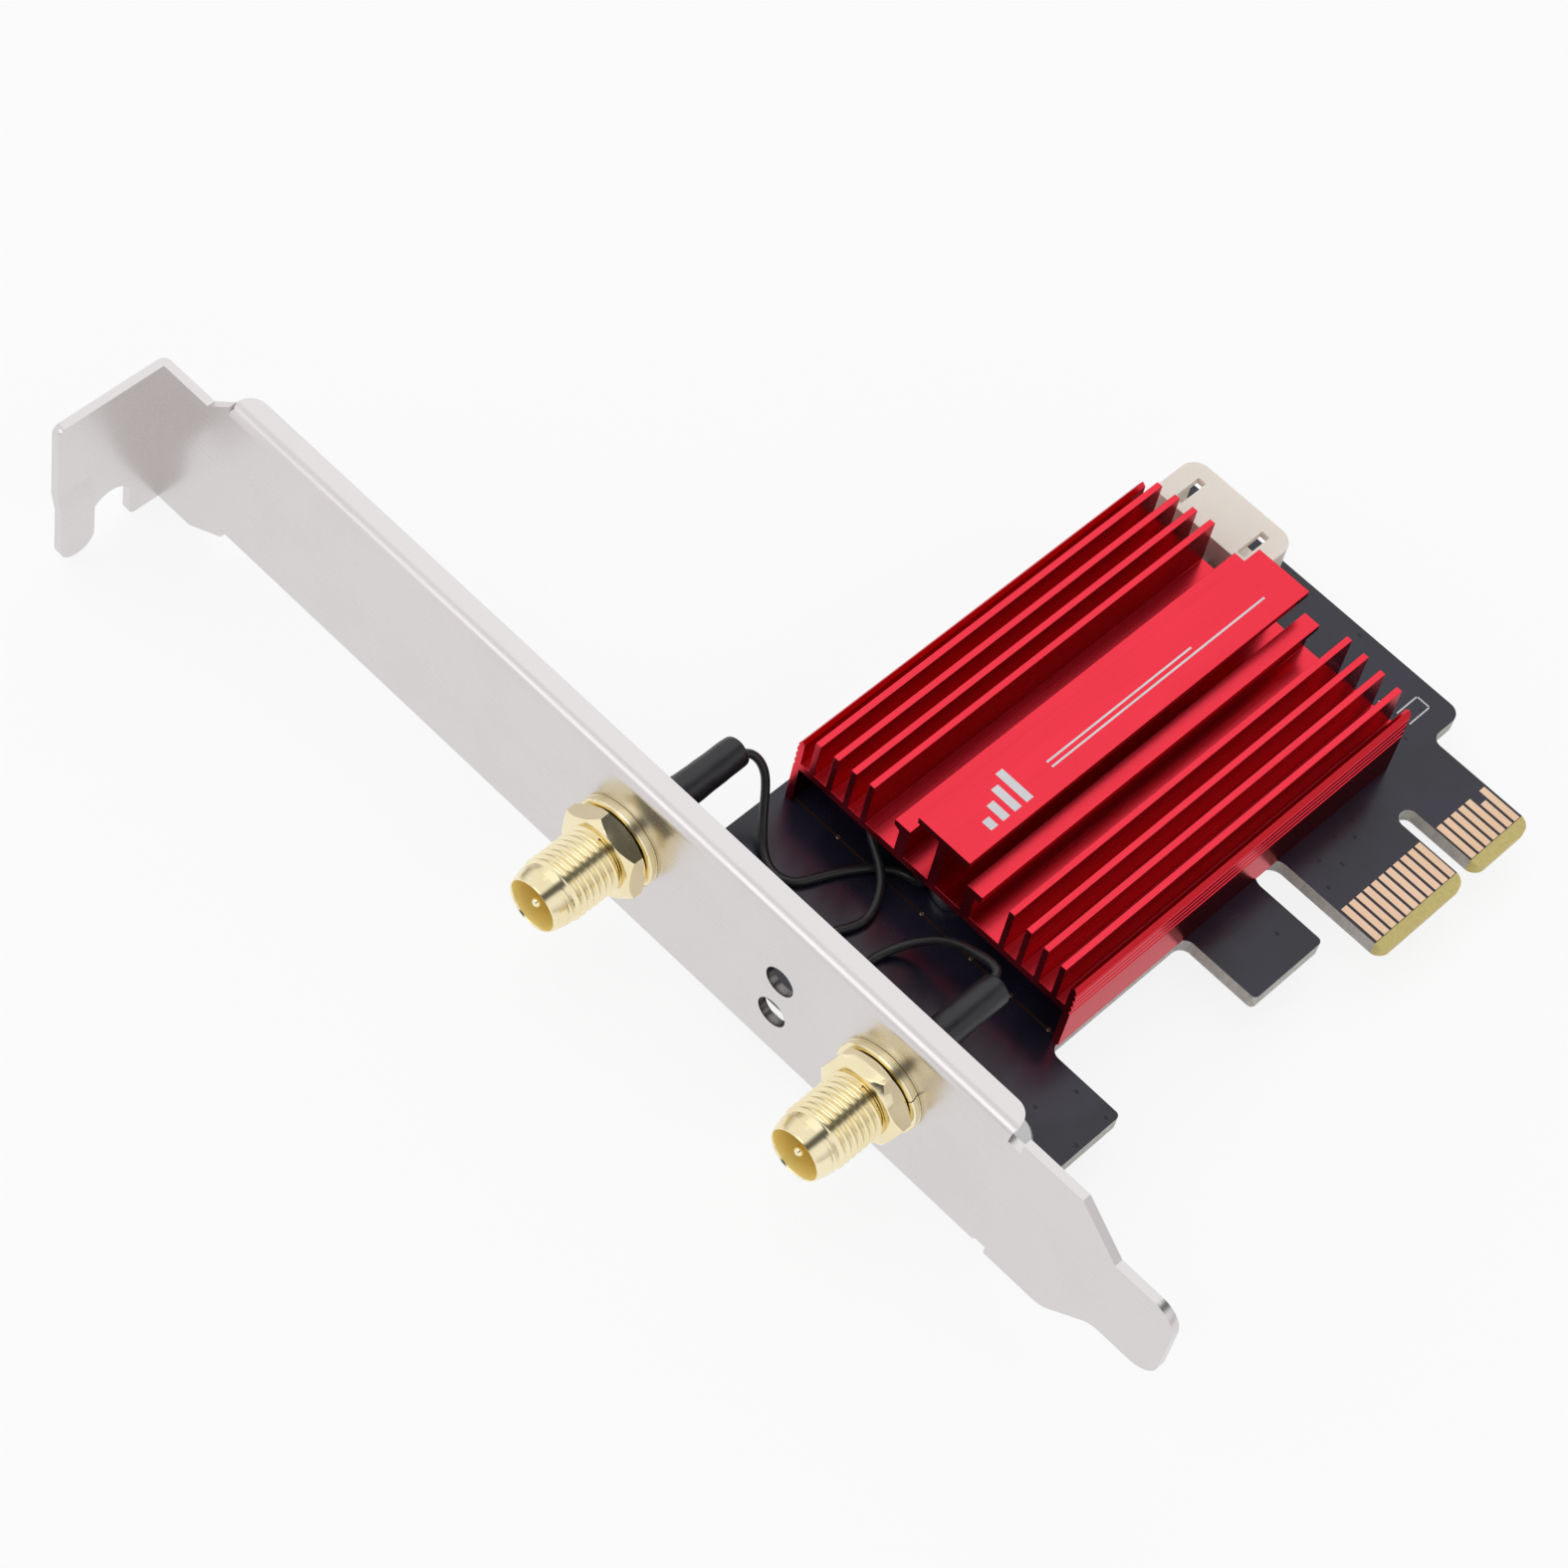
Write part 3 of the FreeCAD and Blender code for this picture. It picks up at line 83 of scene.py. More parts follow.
class NodeSheet:
    """A node tree, with short calls for the nodes that finishes and the studio need."""

    def __init__(self, tree: bpy.types.NodeTree) -> None:
        """Keeps the tree that the nodes go into."""
        self.tree = tree

    def add(self, kind: str) -> bpy.types.Node:
        """Adds one node of a kind."""
        return self.tree.nodes.new(f"ShaderNode{kind}")

    def plug(self, value: Socket | float | Colour, socket: Socket) -> None:
        """Links a worked-out value to a socket, or sets the socket to a constant.

        Args:
            value: A socket to link, a number or a colour.
            socket: The socket that takes it.
        """
        if isinstance(value, bpy.types.NodeSocket):
            self.tree.links.new(value, socket)
        elif isinstance(value, tuple):
            socket.default_value = (*value, 1.0)
        else:
            socket.default_value = value

    def math(self, operation: str, first: Socket | float, second: Socket | float = 0.0) -> Socket:
        """Works out one value from two, either of which may be a number.

        Args:
            operation: Name of the sum, such as ADD.
            first: First value.
            second: Second value, for sums of two.

        Returns:
            The outcome.
        """
        node = self.add("Math")
        node.operation = operation
        self.plug(first, node.inputs[0])
        self.plug(second, node.inputs[1])
        return node.outputs["Value"]

    def axis(self, vector: Socket, name: str) -> Socket:
        """Takes the X, Y or Z part of a vector.

        Args:
            vector: The vector.
            name: X, Y or Z.

        Returns:
            That part.
        """
        split = self.add("SeparateXYZ")
        self.plug(vector, split.inputs["Vector"])
        return split.outputs[name]

    def spread(self, value: Socket, low: float, high: float, soft: bool = False) -> Socket:
        """Stretches the range from low to high to 0 to 1, held at both ends.

        Args:
            value: The value to stretch.
            low: Value that becomes 0.
            high: Value that becomes 1.
            soft: Whether the rise starts and ends gently.

        Returns:
            The stretched value.
        """
        node = self.add("MapRange")
        node.interpolation_type = "SMOOTHSTEP" if soft else "LINEAR"
        self.plug(low, node.inputs["From Min"])
        self.plug(high, node.inputs["From Max"])
        self.plug(value, node.inputs["Value"])
        return node.outputs["Result"]

    def blend(self, share: Socket, first: Socket | Colour, second: Socket | Colour) -> Socket:
        """Goes from one colour to another.

        Args:
            share: 0 for the first colour, 1 for the second.
            first: First colour.
            second: Second colour.

        Returns:
            The blended colour.
        """
        mix = self.add("Mix")
        mix.data_type = "RGBA"
        self.plug(share, mix.inputs["Factor"])
        for socket, colour in zip([s for s in mix.inputs if s.type == "RGBA"], (first, second)):
            self.plug(colour, socket)
        return next(s for s in mix.outputs if s.type == "RGBA")


class ShaderSheet(NodeSheet):
    """The nodes of one material, round its main shader."""

    def __init__(self, name: str) -> None:
        """Starts a material that holds only its main shader.

        Args:
            name: Name of the material.
        """
        self.material = bpy.data.materials.new(name)
        self.material.use_nodes = True
        super().__init__(self.material.node_tree)
        self.shader = self.tree.nodes["Principled BSDF"]

    @cached_property
    def place(self) -> Socket:
        """Object coordinates of the shaded spot."""
        return self.add("TexCoord").outputs["Object"]

    @cached_property
    def facing(self) -> Socket:
        """Direction that the shaded spot faces."""
        return self.add("NewGeometry").outputs["Normal"]

    def feed(self, **values: Socket | float | Colour) -> None:
        """Fills sockets of the main shader; underscores in a name stand for spaces."""
        for name, value in values.items():
            self.plug(value, self.shader.inputs[name.replace("_", " ")])

    def noise(self, scale: Point, detail: float = 3.0, roughness: float = 0.55) -> Socket:
        """Makes cloudy noise over object coordinates that are stretched along each axis.

        Args:
            scale: Repeats per metre along X, Y and Z.
            detail: Number of finer layers.
            roughness: Strength of the finer layers.

        Returns:
            The noise, about 0.5 on average.
        """
        mapping = self.add("Mapping")
        mapping.inputs["Scale"].default_value = scale
        self.plug(self.place, mapping.inputs["Vector"])
        noise = self.add("TexNoise")
        settings = {"Scale": 1.0, "Detail": detail, "Roughness": roughness}
        for name, value in settings.items():
            self.plug(value, noise.inputs[name])
        self.plug(mapping.outputs["Vector"], noise.inputs["Vector"])
        return noise.outputs["Fac"]

    def relief(self, height_mm: Socket) -> None:
        """Turns a height in millimetres into a bump on the main shader.

        Args:
            height_mm: The height.
        """
        bump = self.add("Bump")
        self.plug(MM, bump.inputs["Distance"])
        self.plug(height_mm, bump.inputs["Height"])
        self.feed(Normal=bump.outputs["Normal"])


@dataclass(frozen=True)
class Metal:
    """Plated or bare metal with drawing marks and a slightly uneven polish."""

    name: str
    colour: Colour
    shade: Colour
    polish: float = 0.3
    polish_change: float = 0.06
    grain: Grain = Grain.EVEN
    grain_per_mm: float = 9.0
    grain_depth_mm: float = 0.001
    bores: tuple[tuple[float, float, float], ...] = ()
    # Painted colour for bore walls; the default dark grey is painted shade.
    painted_bore_colour: Colour = (0.20, 0.19, 0.185)
    bore_metal: float = 1.0
    bore_polish: float = 0.3
    marks_share: float = 0.6
    clouds_share: float = 1.4
    clouds_per_metre: float = 150.0

    def build(self) -> bpy.types.Material:
        """Makes the material's nodes.

        Returns:
            The finished material.
        """
        sheet = ShaderSheet(self.name)
        marks = sheet.noise(tuple(share * self.grain_per_mm / MM for share in self.grain.value))
        clouds = sheet.noise((self.clouds_per_metre,) * 3, detail=2.0)
        both = sheet.math(
            "ADD",
            sheet.math("MULTIPLY", marks, self.marks_share),
            sheet.math("MULTIPLY", clouds, self.clouds_share),
        )
        share = sheet.spread(both, 0.75, 1.25)
        colour = sheet.blend(share, self.shade, self.colour)
        change = sheet.math("MULTIPLY", share, self.polish_change)
        polish = sheet.math("ADD", change, self.polish - self.polish_change / 2)
        metal = 1.0
        if self.bores:
            # Inside a bore the colour is painted: painted shade on the walls of the bracket's
            # windows, and in the jacks a deeper gold that stands in for light reflected round the
            # bore.
            inside = [self.inside_bore(sheet, *bore) for bore in self.bores]
            dull = sheet.math("MAXIMUM", *inside)
            colour = sheet.blend(dull, colour, self.painted_bore_colour)
            rise = sheet.math("MULTIPLY", dull, self.bore_polish - self.polish)
            polish = sheet.math("ADD", polish, rise)
            metal = sheet.math("SUBTRACT", 1.0, sheet.math("MULTIPLY", dull, 1.0 - self.bore_metal))
        sheet.feed(Base_Color=colour, Metallic=metal, Roughness=polish)
        sheet.relief(sheet.math("MULTIPLY", marks, self.grain_depth_mm))
        return sheet.material

    def inside_bore(self, sheet: ShaderSheet, y: float, z: float, radius: float) -> Socket:
        """Finds what lies inside a bore along X, whose wall gets a painted colour: painted shade in
        the bracket's windows, painted reflected light in the jacks.

        Args:
            sheet: The material's nodes.
            y: Height of the bore's axis, in millimetres.
            z: Distance of the axis out of the component side, in millimetres.
            radius: Radius up to which the bore's painted colour and its own polish are used, in
                millimetres.

        Returns:
            1 inside the bore and 0 outside it.
        """
        off_y = sheet.math("SUBTRACT", sheet.axis(sheet.place, "Y"), y * MM)
        off_z = sheet.math("SUBTRACT", sheet.axis(sheet.place, "Z"), z * MM)
        squares = [sheet.math("MULTIPLY", off, off) for off in (off_y, off_z)]
        return sheet.math("LESS_THAN", sheet.math("ADD", *squares), (radius * MM) ** 2)


@dataclass(frozen=True)
class Plastic:
    """Moulded or sleeved plastic with a fine skin, slow colour change and soft gloss."""

    name: str
    colour: Colour
    shade: Colour
    polish: float = 0.45
    skin_per_mm: float = 12.0
    skin_depth_mm: float = 0.003
    fold_per_mm: float = 0.0
    fold_depth_mm: float = 0.0
    glow: float = 0.0
    glow_depth_mm: float = 0.4
    polish_change: float = 0.16

    def build(self) -> bpy.types.Material:
        """Makes the material's nodes.

        Returns:
            The finished material.
        """
        sheet = ShaderSheet(self.name)
        skin = sheet.noise((self.skin_per_mm / MM,) * 3, detail=2.0)
        clouds = sheet.noise((260.0, 260.0, 260.0))
        change = sheet.math("MULTIPLY", clouds, self.polish_change)
        sheet.feed(
            Base_Color=sheet.blend(sheet.spread(clouds, 0.3, 0.7), self.shade, self.colour),
            Roughness=sheet.math("ADD", change, self.polish - self.polish_change / 2),
            Subsurface_Weight=self.glow,
            Subsurface_Scale=self.glow_depth_mm * MM,
        )
        height = sheet.math("MULTIPLY", skin, self.skin_depth_mm)
        if self.fold_depth_mm:
            slow = self.fold_per_mm / MM
            folds = sheet.noise((slow, slow * 0.6, slow * 0.6), detail=2.0)
            height = sheet.math("ADD", height, sheet.math("MULTIPLY", folds, self.fold_depth_mm))
        sheet.relief(height)
        return sheet.material


@dataclass(frozen=True)
class AnodisedAluminium:
    """Dyed aluminium extrusion with fine die lines, and painted shade on the flanks that face along
    Y.
    """

    name: str = "anodised_red"
    colour: Colour = (0.81, 0.043, 0.069)
    shade: Colour = (0.745, 0.037, 0.060)
    painted_flank_shade: Colour = (0.47, 0.010, 0.015)
    polish: float = 0.26
    polish_change: float = 0.10
    line_depth_mm: float = 0.0004
    grazing_tint: Colour = (1.0, 0.70, 0.74)

    def build(self) -> bpy.types.Material:
        """Makes the material's nodes.

        Returns:
            The finished material.
        """
        sheet = ShaderSheet(self.name)
        lines = sheet.noise((60.0, 5200.0, 5200.0))
        clouds = sheet.noise((90.0, 300.0, 300.0), detail=2.0)
        share = sheet.spread(sheet.math("ADD", lines, clouds), 0.6, 1.4)
        top = sheet.blend(share, self.shade, self.colour)
        # Painted shade: faces that look along Y are blended to a darker red, which stands in for
        # the shade between the fins.
        sideways = sheet.math("ABSOLUTE", sheet.axis(sheet.facing, "Y"))
        change = sheet.math("MULTIPLY", lines, self.polish_change)
        sheet.feed(
            Base_Color=sheet.blend(sheet.spread(sideways, 0.55, 0.95), top, self.painted_flank_shade),
            Metallic=1.0,
            Roughness=sheet.math("ADD", change, self.polish - self.polish_change / 2),
            Specular_Tint=self.grazing_tint,
        )
        sheet.relief(sheet.math("MULTIPLY", lines, self.line_depth_mm))
        return sheet.material


@dataclass(frozen=True)
class SolderMask:
    """Glossy dark mask over copper, with painted light on it near the bracket, and bare laminate on
    the cut edges and bevels.
    """

    name: str = "board_mask"
    mask: Colour = (0.013, 0.012, 0.025)
    over_copper: Colour = (0.017, 0.015, 0.034)
    painted_light_near_bracket: Colour = (0.034, 0.029, 0.048)
    laminate: Colour = (0.60, 0.585, 0.54)
    bevel: Colour = (0.72, 0.60, 0.22)
    bevel_height_mm: float = 1.14
    near_x_mm: tuple[float, float] = (-38.0, -52.0)
    polish: float = 0.17
    polish_change: float = 0.16
    cut_dullness: float = 0.35
    weave_depth_mm: float = 0.0008

    def build(self) -> bpy.types.Material:
        """Makes the material's nodes.

        Returns:
            The finished material.
        """
        sheet = ShaderSheet(self.name)
        weave = sheet.noise((2600.0, 2600.0, 700.0), detail=2.0)
        pour = sheet.noise((160.0, 160.0, 160.0), detail=1.0, roughness=0.3)
        # Painted light: the mask over copper turns lighter towards the bracket, between the two X
        # places of near_x_mm.
        near = sheet.spread(sheet.axis(sheet.place, "X"), *(x * MM for x in self.near_x_mm))
        copper_and_painted_light = sheet.blend(near, self.over_copper, self.painted_light_near_bracket)
        top = sheet.blend(sheet.spread(pour, 0.44, 0.56), self.mask, copper_and_painted_light)
        upright = sheet.math("ABSOLUTE", sheet.axis(sheet.facing, "Z"))
        cut = sheet.math("LESS_THAN", upright, 0.6)
        fleck = sheet.spread(weave, 0.3, 0.7)
        fibres = sheet.blend(fleck, tuple(c * 0.75 for c in self.laminate), self.laminate)
        low = sheet.math("LESS_THAN", sheet.axis(sheet.place, "Y"), self.bevel_height_mm * MM)
        bare = sheet.math("MULTIPLY", low, sheet.math("LESS_THAN", upright, 0.99))
        resin = sheet.blend(fleck, tuple(c * 0.88 for c in self.bevel), self.bevel)
        wear = sheet.math("MULTIPLY", sheet.noise((420.0, 420.0, 420.0)), self.polish_change)
        dull = sheet.math("MULTIPLY", sheet.math("MAXIMUM", cut, bare), self.cut_dullness)
        sheet.feed(
            Base_Color=sheet.blend(bare, sheet.blend(cut, top, fibres), resin),
            Roughness=sheet.math("ADD", sheet.math("ADD", dull, wear), self.polish),
        )
        sheet.relief(sheet.math("MULTIPLY", weave, self.weave_depth_mm))
        return sheet.material


class Finishes:
    """All finishes of the card, built once and handed out by name."""

    def __init__(self) -> None:
        """Builds every finish."""
        makers = [
            # The bracket's two windows get painted shade on their walls through bores.
            Metal("nickel_plate", (0.715, 0.685, 0.68), (0.69, 0.66, 0.655), polish=0.28,
                  grain=Grain.ALONG_BRACKET, grain_per_mm=4.0, grain_depth_mm=0.00012,
                  bores=((29.15, 3.3, 1.53), (29.15, 8.1, 1.53))),
            Metal("gold_plate", (0.95, 0.86, 0.60), (0.88, 0.76, 0.47), polish=0.13,
                  grain_per_mm=14.0, grain_depth_mm=0.0006),
            # The jacks' bores get a deeper, part-diffuse gold: painted reflected light inside the
            # mouths.
            Metal("turned_gold", (0.95, 0.86, 0.60), (0.88, 0.76, 0.47), polish=0.18,
                  grain=Grain.ROUND_JACK, grain_per_mm=16.0, grain_depth_mm=0.0008,
                  bores=tuple((jack.value, 7.45, 2.44) for jack in Jack),
                  painted_bore_colour=(1.0, 0.80, 0.27), bore_metal=0.3, bore_polish=0.45),
            Metal("contact_gold", (0.84, 0.60, 0.43), (0.74, 0.51, 0.34), polish=0.38,
                  grain_per_mm=8.0, grain_depth_mm=0.0006),
            Metal("tin_plate", (0.70, 0.69, 0.66), (0.58, 0.57, 0.54), polish=0.36),
            Metal("screw_steel", (0.52, 0.52, 0.52), (0.42, 0.42, 0.42), polish=0.28),
            AnodisedAluminium(),
            SolderMask(),
            SolderMask("module_mask", (0.012, 0.055, 0.032), (0.018, 0.085, 0.05),
                       (0.018, 0.085, 0.05), (0.35, 0.36, 0.25), (0.35, 0.36, 0.25),
                       bevel_height_mm=-99.0),
            Plastic("header_nylon", (0.97, 0.89, 0.80), (0.93, 0.85, 0.75), polish=0.42, glow=0.12),
            Plastic("shrink_tube", (0.022, 0.022, 0.028), (0.010, 0.010, 0.014), polish=0.38,
                    fold_per_mm=0.9, fold_depth_mm=0.05),
            Plastic("lead_jacket", (0.026, 0.026, 0.029), (0.015, 0.015, 0.017), polish=0.36,
                    fold_per_mm=2.0, fold_depth_mm=0.01),
            Plastic("black_plastic", (0.026, 0.026, 0.028), (0.016, 0.016, 0.018), polish=0.5),
            # Brown for the painted reflection of the heatsink's edge on the board.
            Plastic("painted_heatsink_reflection", (0.052, 0.022, 0.013), (0.036, 0.015, 0.010), polish=0.35),
            Plastic("via_mask", (0.004, 0.004, 0.005), (0.002, 0.002, 0.003), polish=0.3),
            Plastic("insulator", (0.86, 0.85, 0.80), (0.76, 0.74, 0.69), polish=0.5, glow=0.1),
            Plastic("thermal_silicone", (0.36, 0.42, 0.48), (0.28, 0.34, 0.40), polish=0.7),
            Plastic("ceramic", (0.48, 0.36, 0.25), (0.38, 0.28, 0.18), polish=0.55),
            Plastic("white_ink", (0.82, 0.82, 0.84), (0.72, 0.72, 0.74), polish=0.5,
                    skin_per_mm=20.0, skin_depth_mm=0.002),
        ]
        self.made = {maker.name: maker.build() for maker in makers}

    def paint(self, thing: bpy.types.Object, name: str) -> None:
        """Gives an object one finish all over.

        Args:
            thing: The object.
            name: Name of the finish.
        """
        thing.data.materials.clear()
        thing.data.materials.append(self.made[name])


# Modelling


def pick_only(thing: bpy.types.Object) -> None:
    """Makes one object the only selected and the active one.

    Args:
        thing: The object.
    """
    bpy.ops.object.select_all(action="DESELECT")
    thing.select_set(True)
    bpy.context.view_layer.objects.active = thing


def bake_place() -> None:
    """Moves the selected objects' places and turns into their meshes."""
    bpy.ops.object.transform_apply(location=True, rotation=True, scale=True)


def remove(thing: bpy.types.Object) -> None:
    """Takes a used-up object away."""
    pick_only(thing)
    bpy.ops.object.delete()


def start_chain(name: str, points: Sequence[Vector], close: bool = False) -> bpy.types.Object:
    """Draws a line of edges through points, starting from one vertex.

    Args:
        name: Name of the new object.
        points: Corners of the line, in metres.
        close: Whether the line ends where it starts.

    Returns:
        The object, out of edit mode, with no faces.
    """
    bpy.ops.object.select_all(action="DESELECT")
    bpy.ops.mesh.primitive_plane_add(size=MM)
    thing = bpy.context.active_object
    thing.name = name
    bpy.ops.object.mode_set(mode="EDIT")
    bpy.ops.mesh.select_mode(type="VERT")
    bpy.ops.mesh.select_all(action="SELECT")
    bpy.ops.mesh.merge(type="CENTER")
    bpy.ops.transform.translate(value=points[0])
    for before, after in zip(points, points[1:]):
        bpy.ops.mesh.extrude_vertices_move(TRANSFORM_OT_translate={"value": after - before})
    bpy.ops.object.mode_set(mode="OBJECT")
    if close:
        ends = (0, len(thing.data.vertices) - 1)
        for vertex in thing.data.vertices:
            vertex.select = vertex.index in ends
        bpy.ops.object.mode_set(mode="EDIT")
        bpy.ops.mesh.edge_face_add()
        bpy.ops.object.mode_set(mode="OBJECT")
    return thing


def finish_modifier(thing: bpy.types.Object, kind: str, **settings: object) -> None:
    """Adds a modifier and applies it.

    Args:
        thing: The object that it works on.
        kind: Kind of modifier.
        settings: The modifier's settings, by name.
    """
    pick_only(thing)
    modifier = thing.modifiers.new(kind.lower(), kind)
    for name, value in settings.items():
        setattr(modifier, name, value)
    bpy.ops.object.modifier_apply(modifier=modifier.name)


def tidy_mesh(thing: bpy.types.Object, smooth_degrees: float = 35.0) -> None:
    """Merges doubled points, turns faces outwards and smooths all but sharp edges.

    Args:
        thing: A closed mesh object.
        smooth_degrees: Edges flatter than this look smooth.
    """
    pick_only(thing)
    bpy.ops.object.mode_set(mode="EDIT")
    bpy.ops.mesh.select_all(action="SELECT")
    bpy.ops.mesh.remove_doubles(threshold=DOUBLES_MM * MM)
    bpy.ops.mesh.normals_make_consistent(inside=False)
    bpy.ops.object.mode_set(mode="OBJECT")
    bpy.ops.object.shade_smooth_by_angle(angle=math.radians(smooth_degrees))


def settle(thing: bpy.types.Object, offset: Vector) -> bpy.types.Object:
    """Moves a finished mesh to its place, with the object itself left at the origin.

    Args:
        thing: The mesh object, modelled about its own axis.
        offset: Where its own origin goes, in metres.

    Returns:
        The same object.
    """
    pick_only(thing)
    bpy.ops.transform.translate(value=offset)
    bake_place()
    return thing


def join_all(name: str, things: Sequence[bpy.types.Object]) -> bpy.types.Object:
    """Joins objects into one.

    Args:
        name: Name of the whole.
        things: The objects, which are used up.

    Returns:
        The whole.
    """
    bpy.ops.object.select_all(action="DESELECT")
    for thing in things:
        thing.select_set(True)
    bpy.context.view_layer.objects.active = things[0]
    bpy.ops.object.join()
    whole = bpy.context.active_object
    whole.name = name
    return whole


def combine(thing: bpy.types.Object, tool: bpy.types.Object, operation: str) -> None:
    """Keeps or cuts away what a second solid shares with the first, and removes the second.

    Args:
        thing: The solid that stays.
        tool: The solid that is used up.
        operation: INTERSECT or DIFFERENCE.
    """
    finish_modifier(thing, "BOOLEAN", operation=operation, object=tool)
    remove(tool)


def turn_on_lathe(
    name: str, profile: Sequence[tuple[float, float]], steps: int = 48
) -> bpy.types.Object:
    """Turns a profile about the X axis, into a ring or a solid that meets the axis.

    Args:
        name: Name of the new object.
        profile: Corners as (place along X, radius), in millimetres.
        steps: Facets round the axis.

    Returns:
        The turned piece, about the X axis.
    """
    ring = profile[0][1] > 0.0
    corners = [Vector((x * MM, 0.0, r * MM)) for x, r in profile]
    thing = start_chain(name, corners, close=ring)
    finish_modifier(
        thing, "SCREW", axis="X", angle=math.tau, steps=steps, render_steps=steps,
        use_merge_vertices=True, merge_threshold=0.001 * MM,
    )
    tidy_mesh(thing)
    return thing


def block(low: Vector, high: Vector) -> bpy.types.Object:
    """Makes a box between two corners.

    Args:
        low: The corner with the lower values, in metres.
        high: The opposite corner, in metres.

    Returns:
        The box.
    """
    bpy.ops.object.select_all(action="DESELECT")
    bpy.ops.mesh.primitive_cube_add(size=1.0, location=(low + high) / 2, scale=high - low)
    bake_place()
    return bpy.context.active_object


def print_patch(low: Vector, high: Vector, edge_mm: float) -> bpy.types.Object:
    """Makes a thin patch of print or of painted reflection, with broken edges.

    Args:
        low: The corner with the lower values, in metres.
        high: The opposite corner, in metres.
        edge_mm: Width of the broken edge.

    Returns:
        The patch.
    """
    patch = block(low, high)
    finish_modifier(patch, "BEVEL", width=edge_mm * MM, segments=1)
    return patch


def turned_about_x(degrees: float) -> Matrix:
    """Makes the turn from +Y towards +Z by an angle."""
    return Matrix.Rotation(math.radians(degrees), 4, "X")


# Sub-assemblies


@dataclass
class SubAssembly(ABC):
    """A group of the card's pieces, with the finishes that dress them."""

    finishes: Finishes

    @abstractmethod
    def build(self) -> None:
        """Models the pieces and dresses them."""

    def dress(
        self, name: str, finish: str, edge_mm: float | None = None,
        segments: int = 2, limit_degrees: float = 35.0,
    ) -> None:
        """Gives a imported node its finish, and breaks its edges by live modifiers.

        Args:
            name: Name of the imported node.
            finish: Name of its finish.
            edge_mm: Width of the broken edges, if they are broken.
            segments: Facets across a broken edge.
            limit_degrees: Edges flatter than this stay as they are.
        """
        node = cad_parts[name]
        self.finishes.paint(node, finish)
        if edge_mm is None:
            return
        weld = node.modifiers.new("weld", "WELD")
        weld.merge_threshold = NODE_DOUBLES_MM * MM
        flats = node.modifiers.new("flats", "DECIMATE")
        flats.decimate_type = "DISSOLVE"
        flats.angle_limit = math.radians(FLAT_DEGREES)
        bevel = node.modifiers.new("edges", "BEVEL")
        bevel.width = edge_mm * MM
        bevel.segments = segments
        bevel.limit_method = "ANGLE"
        bevel.angle_limit = math.radians(limit_degrees)
        shading = node.modifiers.new("shading", "WEIGHTED_NORMAL")
        shading.mode = "FACE_AREA"

    def stand_for(
        self, thing: bpy.types.Object, finish: str, slot: str, node: str | None = None
    ) -> None:
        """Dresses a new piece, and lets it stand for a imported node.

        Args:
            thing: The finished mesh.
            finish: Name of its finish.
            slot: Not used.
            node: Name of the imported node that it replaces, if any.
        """
        self.finishes.paint(thing, finish)
        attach(thing, "root")
        if node:
            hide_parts(node)


@dataclass
class CoaxLead(SubAssembly):
    """One thin coaxial lead from its jack's sleeve to its plug on the module."""

    jack: Jack
    route: Sequence[Point]
    length_mm: float
    radius_mm: float = 0.405

    def build(self) -> None:
        """Lays the lead along its route."""
        curve = bpy.data.curves.new(f"lead_{self.jack.label}", "CURVE")
        curve.dimensions = "3D"
        spline = curve.splines.new("NURBS")
        spline.points.add(len(self.route) - 1)
        for knot, (x, y, z) in zip(spline.points, self.route):
            knot.co = (x * MM, y * MM, z * MM, 1.0)
        spline.order_u = 3
        spline.use_endpoint_u = True
        curve.bevel_depth = self.radius_mm * MM
        curve.bevel_resolution = 4
        curve.resolution_u = 8
        curve.use_fill_caps = True
        lead = bpy.data.objects.new(f"lead_{self.jack.label}", curve)
        bpy.context.scene.collection.objects.link(lead)
        self.stand_for(lead, "lead_jacket", "lead_jacket", f"coax_lead_{self.jack.label}")


# Route of the upper jack's lead: one bend behind the bracket's lip, then under the heatsink
UPPER_ROUTE: tuple[Point, ...] = (
    (-45.00, 47.30, 7.00), (-44.40, 47.30, 7.00), (-43.82, 46.95, 6.80),
    (-43.42, 46.25, 6.25), (-43.42, 45.42, 5.32), (-43.80, 44.75, 4.15),
    (-44.40, 44.10, 3.05), (-45.10, 43.35, 2.05), (-45.85, 42.50, 1.20),
    (-46.60, 41.50, 0.65), (-47.25, 40.25, 0.45), (-47.30, 38.85, 0.45),
    (-46.55, 37.65, 0.45), (-45.20, 37.02, 0.45), (-43.78, 36.45, 0.45),
    (-42.46, 35.76, 0.45), (-41.25, 35.02, 0.45), (-40.15, 34.20, 0.50),
    (-39.22, 33.15, 0.50), (-38.72, 31.85, 0.60), (-38.85, 30.60, 1.10),
    (-39.20, 30.15, 2.15), (-39.15, 30.90, 3.10), (-38.65, 32.00, 3.30),
    (-37.55, 32.95, 3.00), (-36.40, 32.95, 3.00),
)

